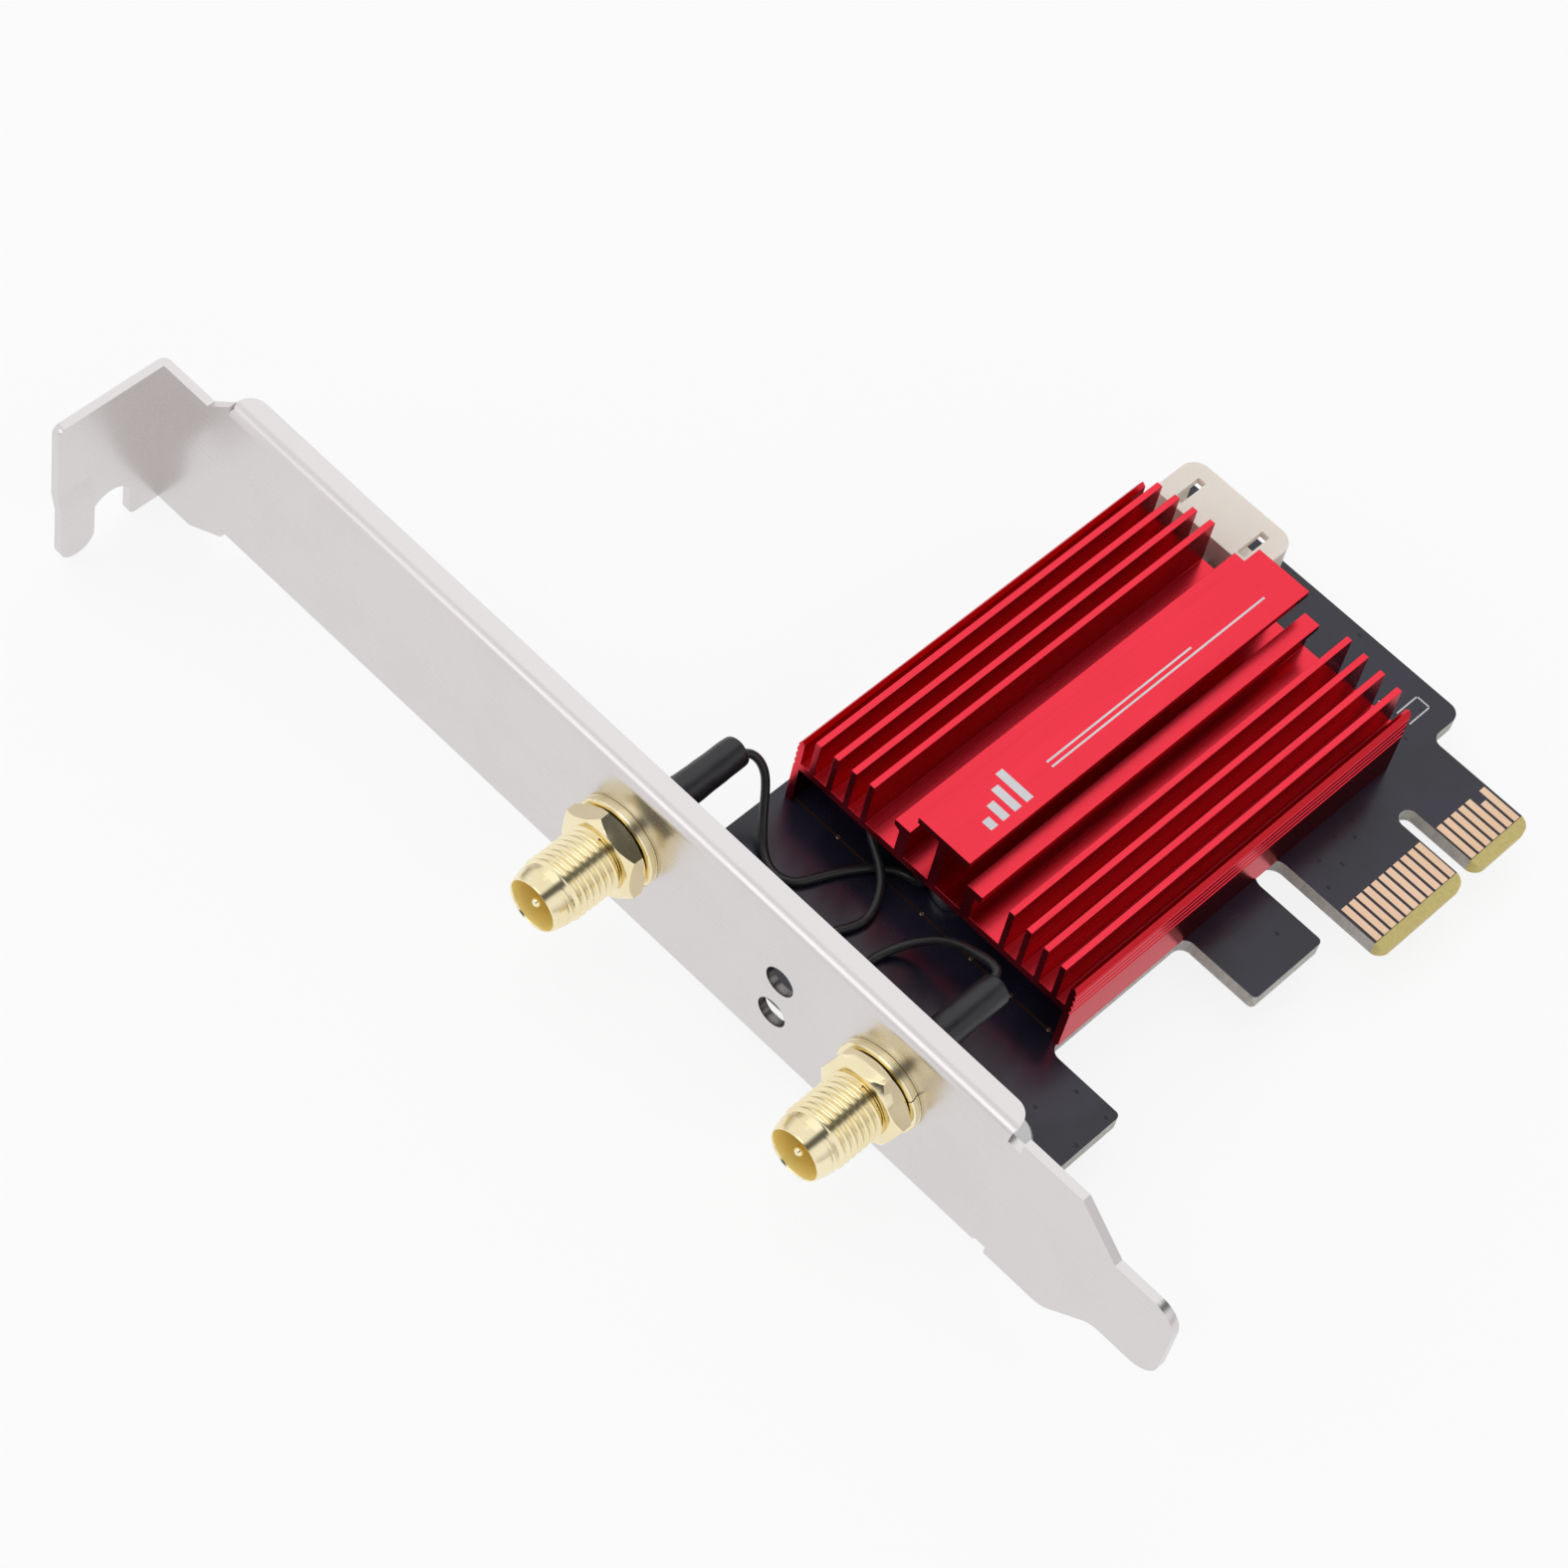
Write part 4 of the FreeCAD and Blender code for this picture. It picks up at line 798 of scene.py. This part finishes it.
# Route of the lower jack's lead: a loop behind the bracket's lip, then under the heatsink
LOWER_ROUTE: tuple[Point, ...] = (
    (-45.00, 18.00, 7.90), (-44.30, 18.00, 7.90), (-43.75, 18.50, 7.80),
    (-43.45, 19.38, 7.40), (-43.22, 20.60, 6.65), (-42.90, 21.85, 5.65),
    (-42.62, 23.00, 4.70), (-42.62, 24.15, 3.75), (-42.90, 25.25, 2.85),
    (-43.50, 26.25, 2.00), (-44.35, 27.10, 1.25), (-45.45, 27.75, 0.70),
    (-46.75, 28.15, 0.45), (-48.10, 28.12, 0.45), (-49.35, 27.92, 0.45),
    (-50.55, 28.12, 0.45), (-51.58, 28.95, 0.45), (-52.02, 30.30, 0.45),
    (-51.56, 31.73, 0.45), (-50.35, 32.55, 0.45), (-48.90, 32.65, 0.45),
    (-47.40, 32.15, 0.45), (-45.95, 31.45, 0.45), (-44.50, 31.15, 0.50),
    (-42.95, 31.60, 0.80), (-41.60, 32.45, 1.25), (-40.65, 33.60, 1.75),
    (-40.05, 34.85, 2.25), (-39.50, 36.02, 2.65), (-38.70, 36.95, 2.93),
    (-37.50, 37.35, 3.00), (-36.40, 37.35, 3.00),
)


# Studio


@dataclass
class Studio:
    """Pale floor, soft light and the camera at the photograph's angle."""

    position_mm: Point = (-223.73, -72.69, 318.29)
    forward: Point = (0.4760, 0.3062, -0.8244)
    right: Point = (0.6977, -0.7022, 0.1419)
    lens_mm: float = 103.45
    sensor_mm: float = 36.0
    floor_z_mm: float = -4.93
    floor_size: float = 6.0
    paper: float = 0.945
    paper_roughness: float = 0.9
    paper_glow: float = 0.86
    horizon: Colour = (0.60, 0.58, 0.57)
    near_horizon: Colour = (1.0, 0.98, 0.97)
    ceiling: Colour = (0.96, 0.96, 0.97)
    gap: Colour = (0.10, 0.10, 0.10)
    gap_side: Point = (0.0, -0.92, -0.39)
    gap_reach: tuple[float, float] = (0.10, 0.32)
    gap_rise: tuple[float, float] = (0.05, 0.25)
    near_reach: tuple[float, float] = (0.1, 0.7)
    ceiling_reach: tuple[float, float] = (0.0, 0.5)

    def build(self) -> None:
        """Sets the view, floor, lamps, world and camera."""
        bpy.context.scene.view_settings.view_transform = "Standard"
        self.add_floor()
        self.add_lamp("overhead", (0.50, 0.32, 0.87), 0.8, 0.4)
        self.add_lamp("front_left", (-0.75, 0.25, 0.75), 0.5, 0.5)
        self.add_world()
        self.add_camera()

    def add_floor(self) -> None:
        """Lays a pale floor at the height that the card rests on."""
        bpy.ops.object.select_all(action="DESELECT")
        bpy.ops.mesh.primitive_plane_add(
            size=self.floor_size, location=(0.0, 0.0, self.floor_z_mm * MM)
        )
        floor = bpy.context.active_object
        floor.name = "floor"
        sheet = ShaderSheet("paper")
        sheet.feed(Base_Color=(self.paper,) * 3, Roughness=self.paper_roughness)
        glow = sheet.add("Emission")
        sheet.plug((1.0, 1.0, 1.0), glow.inputs["Color"])
        rays = sheet.add("LightPath").outputs
        seen = sheet.math("MAXIMUM", rays["Is Camera Ray"], rays["Is Glossy Ray"])
        mix = sheet.add("MixShader")
        parts = (
            sheet.math("MULTIPLY", seen, self.paper_glow),
            sheet.shader.outputs["BSDF"],
            glow.outputs["Emission"],
        )
        for part, socket in zip(parts, mix.inputs):
            sheet.plug(part, socket)
        sheet.plug(mix.outputs["Shader"], sheet.tree.nodes["Material Output"].inputs["Surface"])
        floor.data.materials.append(sheet.material)

    def add_lamp(self, name: str, place: Point, size: float, power: float) -> None:
        """Adds a square soft lamp that shines at the card.

        Args:
            name: Name of the lamp.
            place: Where it hangs, in metres.
            size: Length of its side, in metres.
            power: Its power, in watts.
        """
        data = bpy.data.lights.new(name, "AREA")
        data.shape = "SQUARE"
        data.size = size
        data.energy = power
        lamp = bpy.data.objects.new(name, data)
        bpy.context.scene.collection.objects.link(lamp)
        lamp.location = place
        lamp.rotation_euler = (-Vector(place)).to_track_quat("-Z", "Y").to_euler()

    def add_world(self) -> None:
        """Surrounds the card with a pale ceiling that a dark gap crosses along X."""
        world = bpy.data.worlds.new("studio")
        bpy.context.scene.world = world
        world.use_nodes = True
        sheet = NodeSheet(world.node_tree)
        sky = sheet.tree.nodes["Background"]
        sky.inputs["Strength"].default_value = 1.0
        ray = sheet.add("TexCoord").outputs["Generated"]
        across = sheet.add("VectorMath")
        across.operation = "DOT_PRODUCT"
        sheet.plug(ray, across.inputs[0])
        across.inputs[1].default_value = self.gap_side
        aside = sheet.math("ABSOLUTE", across.outputs["Value"])
        back = sheet.math("MULTIPLY", sheet.axis(ray, "X"), -1.0)
        height = sheet.axis(ray, "Z")
        nearness = sheet.spread(back, *self.near_reach, soft=True)
        horizon = sheet.blend(nearness, self.horizon, self.near_horizon)
        rise = sheet.spread(height, *self.ceiling_reach, soft=True)
        ceiling = sheet.blend(rise, horizon, self.ceiling)
        beside = sheet.spread(aside, *self.gap_reach, soft=True)
        overhead = sheet.blend(beside, self.gap, ceiling)
        above = sheet.spread(height, *self.gap_rise, soft=True)
        sheet.plug(sheet.blend(above, ceiling, overhead), sky.inputs["Color"])

    def add_camera(self) -> None:
        """Stands the camera where the photograph was taken from."""
        data = bpy.data.cameras.new("camera")
        data.lens = self.lens_mm
        data.sensor_fit = "HORIZONTAL"
        data.sensor_width = self.sensor_mm
        data.clip_start = 0.01
        camera = bpy.data.objects.new("camera", data)
        bpy.context.scene.collection.objects.link(camera)
        ahead, side = Vector(self.forward).normalized(), Vector(self.right).normalized()
        side = (side - ahead * side.dot(ahead)).normalized()
        above = side.cross(ahead)
        turned = Matrix((side, above, -ahead)).transposed().to_4x4()
        camera.matrix_world = Matrix.Translation(Vector(self.position_mm) * MM) @ turned
        bpy.context.scene.camera = camera


# Antenna jacks


@dataclass
class AntennaJack(SubAssembly):
    """A gold threaded jack with its nut, washer, insulator, pin, ferrule and sleeve."""

    jack: Jack
    nut_turn: float
    split_turn: float
    axis_height_mm: float = 7.45
    thread_radius_mm: float = 3.175
    root_radius_mm: float = 2.86
    neck_radius_mm: float = 3.05
    pitch_mm: float = 0.7056
    thread_start_mm: float = -2.75
    thread_end_mm: float = -8.8
    nose_radius_mm: float = 2.96
    mouth_mm: float = -10.15
    mouth_radius_mm: float = 2.60
    bore_radius_mm: float = 2.28
    bore_end_mm: float = -4.75
    nut_flats_mm: float = 7.94
    nut_ends_mm: tuple[float, float] = (-2.95, -1.0)
    washer_radius_mm: float = 4.4
    split_mm: float = 0.10
    split_slant: float = 14.0
    pin_ends_mm: tuple[float, float] = (-9.95, 5.1)
    pin_radius_mm: float = 0.46
    run_out_steps: int = 26
    steps_per_turn: int = 48
    fine_steps: int = 96

    @property
    def centre(self) -> Vector:
        """Where the jack's axis crosses the bracket's outer face."""
        return point(0.0, self.jack.value, self.axis_height_mm)

    def build(self) -> None:
        """Models and dresses every piece of the jack."""
        self.add_barrel()
        self.add_nut()
        self.add_washer()
        self.add_sleeve()
        self.add_pin()
        self.dress(f"jack_insulator_{self.jack.label}", "insulator", 0.05)
        self.dress(f"crimp_ferrule_{self.jack.label}", "tin_plate", 0.04)
        self.dress(f"coax_plug_{self.jack.label}", "gold_plate", 0.08)

    def add_barrel(self) -> None:
        """Turns the barrel with its mouth and flange, and winds the thread round it."""
        nose, mouth, rim = self.nose_radius_mm, self.mouth_mm, self.mouth_radius_mm
        root, start, end = self.root_radius_mm, self.thread_start_mm, self.thread_end_mm
        bore, neck, body, tail = self.bore_radius_mm, self.neck_radius_mm, 2.4, 1.15
        barrel = turn_on_lathe("barrel", [
            (self.bore_end_mm, 0.0), (self.bore_end_mm, bore), (mouth + 1.4, bore),
            (mouth + 0.5, bore + 0.08), (mouth + 0.12, bore + 0.17), (mouth + 0.02, rim - 0.10),
            (mouth, rim - 0.07), (mouth + 0.02, rim - 0.04), (mouth + 0.12, rim + 0.02),
            (mouth + 0.4, rim + 0.13), (mouth + 0.8, rim + 0.24), (mouth + 1.2, nose - 0.04),
            (mouth + 1.5, nose), (end, nose), (end + 0.05, root), (start, root), (start, neck),
            (0.86, neck), (0.86, 4.3), (0.98, 4.4), (2.62, 4.4), (2.76, 4.28), (2.76, body),
            (5.2, body), (5.2, tail), (9.4, tail), (9.4, 0.0),
        ], steps=self.fine_steps)
        whole = join_all(f"jack_barrel_{self.jack.label}", [barrel, self.wind_thread()])
        settle(whole, self.centre)
        self.stand_for(whole, "turned_gold", "jack_gold", f"antenna_jack_{self.jack.label}")

    def wind_thread(self) -> bpy.types.Object:
        """Winds one helical ridge from the nose to the nut.

        Returns:
            The ridge, about the X axis.
        """
        half, low, top = self.pitch_mm * 0.48, self.root_radius_mm - 0.03, self.thread_radius_mm
        turns = math.floor((self.thread_start_mm - self.thread_end_mm) / self.pitch_mm)
        first = self.thread_end_mm + half
        outline = []
        for step in range(-5, 6):
            swell = 0.5 + 0.5 * math.cos(math.pi * step / 5)
            outline.append(Vector((first + half * step / 5, 0.0, low + (top - low) * swell)) * MM)
        ridge = start_chain("ridge", outline, close=True)
        steps = self.steps_per_turn * turns
        finish_modifier(
            ridge, "SCREW", axis="X", angle=math.tau * turns,
            screw_offset=self.pitch_mm * MM * turns, steps=steps, render_steps=steps,
        )
        per_step = len(outline)
        for vertex in ridge.data.vertices:
            rise = min(1.0, (vertex.index // per_step) / self.run_out_steps)
            across = Vector((0.0, vertex.co.y, vertex.co.z))
            radius = low * MM + (across.length - low * MM) * rise
            vertex.co = Vector((vertex.co.x, 0.0, 0.0)) + across.normalized() * radius
        pick_only(ridge)
        bpy.ops.object.mode_set(mode="EDIT")
        bpy.ops.mesh.select_mode(type="EDGE")
        bpy.ops.mesh.select_all(action="DESELECT")
        bpy.ops.mesh.select_non_manifold()
        bpy.ops.mesh.edge_face_add()
        bpy.ops.mesh.select_mode(type="VERT")
        bpy.ops.object.mode_set(mode="OBJECT")
        tidy_mesh(ridge)
        return ridge

    def add_pin(self) -> None:
        """Turns the centre pin with its round tip."""
        (tip, back), r = self.pin_ends_mm, self.pin_radius_mm
        dome = [
            (tip + r * (1.0 - math.cos(math.radians(step))), r * math.sin(math.radians(step)))
            for step in range(0, 91, 15)
        ]
        pin = turn_on_lathe(f"pin_{self.jack.label}", [*dome, (back, r), (back, 0.0)], steps=32)
        settle(pin, self.centre)
        self.stand_for(pin, "gold_plate", "contact_gold", f"jack_pin_{self.jack.label}")

    def add_nut(self) -> None:
        """Cuts a hexagon with turned corners on both faces."""
        front, back = self.nut_ends_mm
        corner = self.nut_flats_mm / math.sqrt(3)
        flat = self.nut_flats_mm / 2
        bpy.ops.object.select_all(action="DESELECT")
        lying = turned_about_x(self.nut_turn) @ Matrix.Rotation(math.pi / 2, 4, "Y")
        bpy.ops.mesh.primitive_cylinder_add(
            vertices=6, radius=corner * MM, depth=(back - front) * MM,
            location=((front + back) / 2 * MM, 0.0, 0.0), rotation=lying.to_euler(),
        )
        nut = bpy.context.active_object
        nut.name = f"nut_{self.jack.label}"
        bake_place()
        blank = turn_on_lathe("blank", [
            (front, 3.12), (front, flat - 0.10), (front + 0.06, flat + 0.01),
            (front + 0.62, corner + 0.02), (back - 0.45, corner + 0.02), (back - 0.04, flat + 0.01),
            (back, flat - 0.05), (back, self.neck_radius_mm), (front + 0.12, self.neck_radius_mm),
        ], steps=self.fine_steps)
        combine(nut, blank, "INTERSECT")
        finish_modifier(nut, "BEVEL", width=0.05 * MM, segments=2, limit_method="ANGLE",
                        angle_limit=math.radians(25.0))
        tidy_mesh(nut, 25.0)
        settle(nut, self.centre)
        self.stand_for(nut, "gold_plate", "jack_gold", f"jack_nut_{self.jack.label}")

    def add_washer(self) -> None:
        """Turns a lock washer with a groove round its rim and a slanting split."""
        rim, groove = self.washer_radius_mm, self.washer_radius_mm - 0.10
        washer = turn_on_lathe(f"washer_{self.jack.label}", [
            (-0.86, 3.22), (-0.86, rim - 0.22), (-0.80, rim - 0.08), (-0.68, rim), (-0.30, rim),
            (-0.25, groove), (-0.19, groove), (-0.14, rim), (-0.04, rim - 0.02), (0.0, rim - 0.1),
            (0.0, 3.22),
        ], steps=self.fine_steps)
        cutter = block(Vector((-1.2, 2.9, 0.0)) * MM, Vector((0.2, 4.8, self.split_mm)) * MM)
        slant = Matrix.Rotation(math.radians(self.split_slant), 4, "Y")
        cutter.matrix_world = turned_about_x(self.split_turn) @ slant
        pick_only(cutter)
        bake_place()
        combine(washer, cutter, "DIFFERENCE")
        tidy_mesh(washer, 30.0)
        settle(washer, self.centre)
        self.stand_for(washer, "turned_gold", "jack_gold", f"lock_washer_{self.jack.label}")

    def add_sleeve(self) -> None:
        """Shrinks a soft black sleeve over the back of the jack and the lead."""
        sleeve = turn_on_lathe(f"sleeve_{self.jack.label}", [
            (13.66, 0.0), (13.66, 1.10), (13.70, 1.24), (13.72, 1.34), (13.68, 1.44),
            (13.55, 1.50), (13.0, 1.52), (12.0, 1.53), (11.0, 1.55), (10.0, 1.57), (9.0, 1.59),
            (7.8, 1.60), (6.8, 1.66), (6.2, 1.92), (5.6, 2.30), (5.0, 2.54), (4.2, 2.60),
            (3.2, 2.62), (2.80, 2.56), (2.80, 2.42), (5.2, 2.42), (5.6, 2.05), (7.0, 1.40),
            (11.0, 1.37), (12.4, 1.1), (12.4, 0.0),
        ], steps=40)
        folds = bpy.data.textures.new(f"folds_{self.jack.label}", "CLOUDS")
        folds.noise_scale = 2.6 * MM
        finish_modifier(sleeve, "SUBSURF", levels=1, render_levels=1)
        finish_modifier(sleeve, "DISPLACE", texture=folds, strength=0.16 * MM, mid_level=0.62,
                        texture_coords="LOCAL")
        tidy_mesh(sleeve, 60.0)
        settle(sleeve, self.centre)
        self.stand_for(sleeve, "shrink_tube", "sleeve_rubber",
                  f"heatshrink_sleeve_{self.jack.label}")


# Bracket, board and heatsink


@dataclass
class Bracket(SubAssembly):
    """The nickel-plated bracket and the two screws that hold the board to it."""

    edge_mm: float = 0.10
    fold_degrees: float = 40.0
    screw_edge_mm: float = 0.25

    def build(self) -> None:
        """Dresses the bracket and its screws."""
        self.dress("bracket", "nickel_plate", self.edge_mm, limit_degrees=self.fold_degrees)
        self.dress("bracket_screws", "screw_steel", self.screw_edge_mm, segments=3)


@dataclass
class Board(SubAssembly):
    """The circuit board with its gold contacts, vias and print, a painted reflection of the
    heatsink's edge and painted glints along it.
    """

    via_radius_mm: float = 0.19
    vias: tuple[tuple[float, float], ...] = (
        (15.8, 8.2), (15.9, 4.9), (12.05, 4.8), (12.1, 9.5), (70.2, 23.3),
        (62.6, 37.1), (66.9, 18.5), (64.4, 17.1), (63.2, 16.3), (61.9, 15.0),
        (66.1, 15.7), (64.9, 13.3), (60.2, 14.0), (58.7, 12.7), (56.9, 11.7),
        (55.8, 13.6), (54.6, 10.7), (53.4, 9.4), (52.0, 10.5), (50.4, 8.3), (49.1, 9.9),
        (47.6, 7.5), (68.3, 14.3), (40.6, 7.4),
    )
    # Painted glints: places of small gold rings along the painted reflection, which stand in for
    # glints of the fin tips.
    glint_column_mm: float = 18.4
    glint_rows_mm: tuple[float, ...] = (13.8, 18.2, 22.9, 28.7, 38.7)
    # Painted reflection: corners of a thin brown strip where the heatsink's near edge is mirrored
    # in the mask.
    painted_reflection_mm: tuple[Point, Point] = ((18.25, 13.2, 0.0), (18.5, 44.2, 0.012))
    print_mm: float = 0.016
    outline_strips_mm: tuple[tuple[float, float, float, float], ...] = (
        (66.35, 13.95, 69.25, 14.1), (66.35, 15.45, 69.25, 15.6),
        (69.1, 13.95, 69.25, 15.6), (66.0, 16.1, 66.15, 17.5),
    )

    def build(self) -> None:
        """Dresses the board and everything printed or plated on it, and lays the painted reflection
        and its glints.
        """
        self.dress("circuit_board", "board_mask")
        for side in ("component", "solder"):
            self.dress(f"edge_contacts_{side}_side", "contact_gold")
        self.add_rings("board_vias", self.vias, "via_mask", "board")
        # Painted glints of the fin tips, as small gold rings.
        glints = [(self.glint_column_mm, row) for row in self.glint_rows_mm]
        self.add_rings("board_painted_glints", glints, "contact_gold", "contact_gold")
        # Painted reflection of the heatsink's near edge, as a thin brown strip.
        reflection_line = print_patch(*(point(*corner) for corner in self.painted_reflection_mm), edge_mm=0.004)
        reflection_line.name = "board_painted_reflection"
        self.stand_for(reflection_line, "painted_heatsink_reflection", "board")
        self.add_outline_print()

    def add_rings(
        self, name: str, places: Sequence[tuple[float, float]], finish: str, slot: str
    ) -> None:
        """Sets small raised rings on the component side.

        Args:
            name: Name of the piece that holds them.
            places: Their places as (x, y), in millimetres.
            finish: Name of their finish.
            slot: Handed on to stand_for, which does not use it.
        """
        r = self.via_radius_mm
        ring = turn_on_lathe("ring", [(0.0, r * 0.4), (0.02, r * 0.6), (0.022, r * 0.8), (0.0, r)],
                             steps=12)
        ring.rotation_euler = (0.0, -math.pi / 2, 0.0)
        pick_only(ring)
        bake_place()
        rings = []
        for x, y in places:
            pick_only(ring)
            bpy.ops.object.duplicate()
            rings.append(settle(bpy.context.active_object, point(x, y, 0.0)))
        remove(ring)
        self.stand_for(join_all(name, rings), finish, slot)

    def add_outline_print(self) -> None:
        """Prints the white outline of a part's place near the far edge."""
        strips = [
            print_patch(point(x0, y0, 0.0), point(x1, y1, self.print_mm), edge_mm=0.005)
            for x0, y0, x1, y1 in self.outline_strips_mm
        ]
        self.stand_for(join_all("board_print", strips), "white_ink", "header_nylon")


@dataclass
class Heatsink(SubAssembly):
    """The red finned extrusion, the mark on its platform and the screws that hold it."""

    edge_mm: float = 0.07
    screw_edge_mm: float = 0.15
    top_mm: float = 12.3
    print_mm: float = 0.012
    bars: int = 4
    bar_start_mm: float = 21.6
    bar_width_mm: float = 0.85
    bar_pitch_mm: float = 1.45
    bar_base_mm: float = 26.6
    bar_height_mm: float = 1.1
    bar_rise_mm: float = 0.85
    lines_mm: tuple[tuple[float, float, float, float], ...] = (
        (30.2, 27.55, 57.6, 27.75), (30.2, 28.15, 48.6, 28.35),
    )

    def build(self) -> None:
        """Dresses the extrusion, its mark and its screws."""
        self.dress("heatsink", "anodised_red", self.edge_mm)
        self.add_mark()
        self.dress("heatsink_screws", "screw_steel", self.screw_edge_mm, segments=3)

    def add_mark(self) -> None:
        """Prints rising bars and a fine double line on the platform."""
        places = []
        for number in range(self.bars):
            start = self.bar_start_mm + self.bar_pitch_mm * number
            tall = self.bar_height_mm + self.bar_rise_mm * number
            end = start + self.bar_width_mm
            places.append((start, self.bar_base_mm, end, self.bar_base_mm + tall))
        bottom, top = self.top_mm, self.top_mm + self.print_mm
        patches = [
            print_patch(point(x0, y0, bottom), point(x1, y1, top), edge_mm=0.004)
            for x0, y0, x1, y1 in (*places, *self.lines_mm)
        ]
        self.stand_for(join_all("platform_mark", patches), "white_ink", "header_nylon")


@dataclass
class CableHeader(SubAssembly):
    """The cream side-entry header and its four pins."""

    edge_mm: float = 0.10
    pin_edge_mm: float = 0.06

    def build(self) -> None:
        """Dresses the header and its pins."""
        self.dress("cable_header", "header_nylon", self.edge_mm)
        self.dress("header_pins", "tin_plate", self.pin_edge_mm)


@dataclass
class WirelessModule(SubAssembly):
    """The module, its socket and the small parts under the heatsink."""

    looks: dict[str, tuple[str, float]] = field(default_factory=lambda: {
        "module_board": ("module_mask", 0.03),
        "radio_chip": ("black_plastic", 0.05),
        "module_shield": ("tin_plate", 0.06),
        "thermal_pad": ("thermal_silicone", 0.1),
        "module_socket": ("black_plastic", 0.08),
        "socket_contacts": ("contact_gold", 0.02),
        "module_standoff": ("screw_steel", 0.08),
        "module_screw": ("screw_steel", 0.12),
        "antenna_receptacles": ("gold_plate", 0.03),
        "chip_capacitors": ("ceramic", 0.05),
    })

    def build(self) -> None:
        """Dresses every piece of the module."""
        for name, (finish, edge) in self.looks.items():
            self.dress(name, finish, edge)


# Whole card

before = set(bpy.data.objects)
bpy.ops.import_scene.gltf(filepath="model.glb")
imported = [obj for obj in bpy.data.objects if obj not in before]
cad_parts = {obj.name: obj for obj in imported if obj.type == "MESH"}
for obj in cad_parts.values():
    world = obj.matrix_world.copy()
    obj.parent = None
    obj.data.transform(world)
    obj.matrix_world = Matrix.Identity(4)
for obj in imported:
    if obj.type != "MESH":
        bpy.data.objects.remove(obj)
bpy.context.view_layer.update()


def main() -> None:
    """Builds the card's sub-assemblies in order."""
    logging.basicConfig(level=logging.INFO, format="%(name)s: %(message)s")
    Studio().build()
    finishes = Finishes()
    parts: dict[str, SubAssembly] = {
        "upper lead": CoaxLead(finishes, Jack.UPPER, UPPER_ROUTE, length_mm=31.9),
        "lower lead": CoaxLead(finishes, Jack.LOWER, LOWER_ROUTE, length_mm=42.1),
        "upper jack": AntennaJack(finishes, Jack.UPPER, nut_turn=21.9, split_turn=200.0),
        "lower jack": AntennaJack(finishes, Jack.LOWER, nut_turn=49.3, split_turn=141.0),
        "bracket": Bracket(finishes),
        "board": Board(finishes),
        "heatsink": Heatsink(finishes),
        "cable header": CableHeader(finishes),
        "wireless module": WirelessModule(finishes),
    }
    for name, part in parts.items():
        part.build()
        log.info("%s is built", name)


if __name__ == "__main__":
    main()
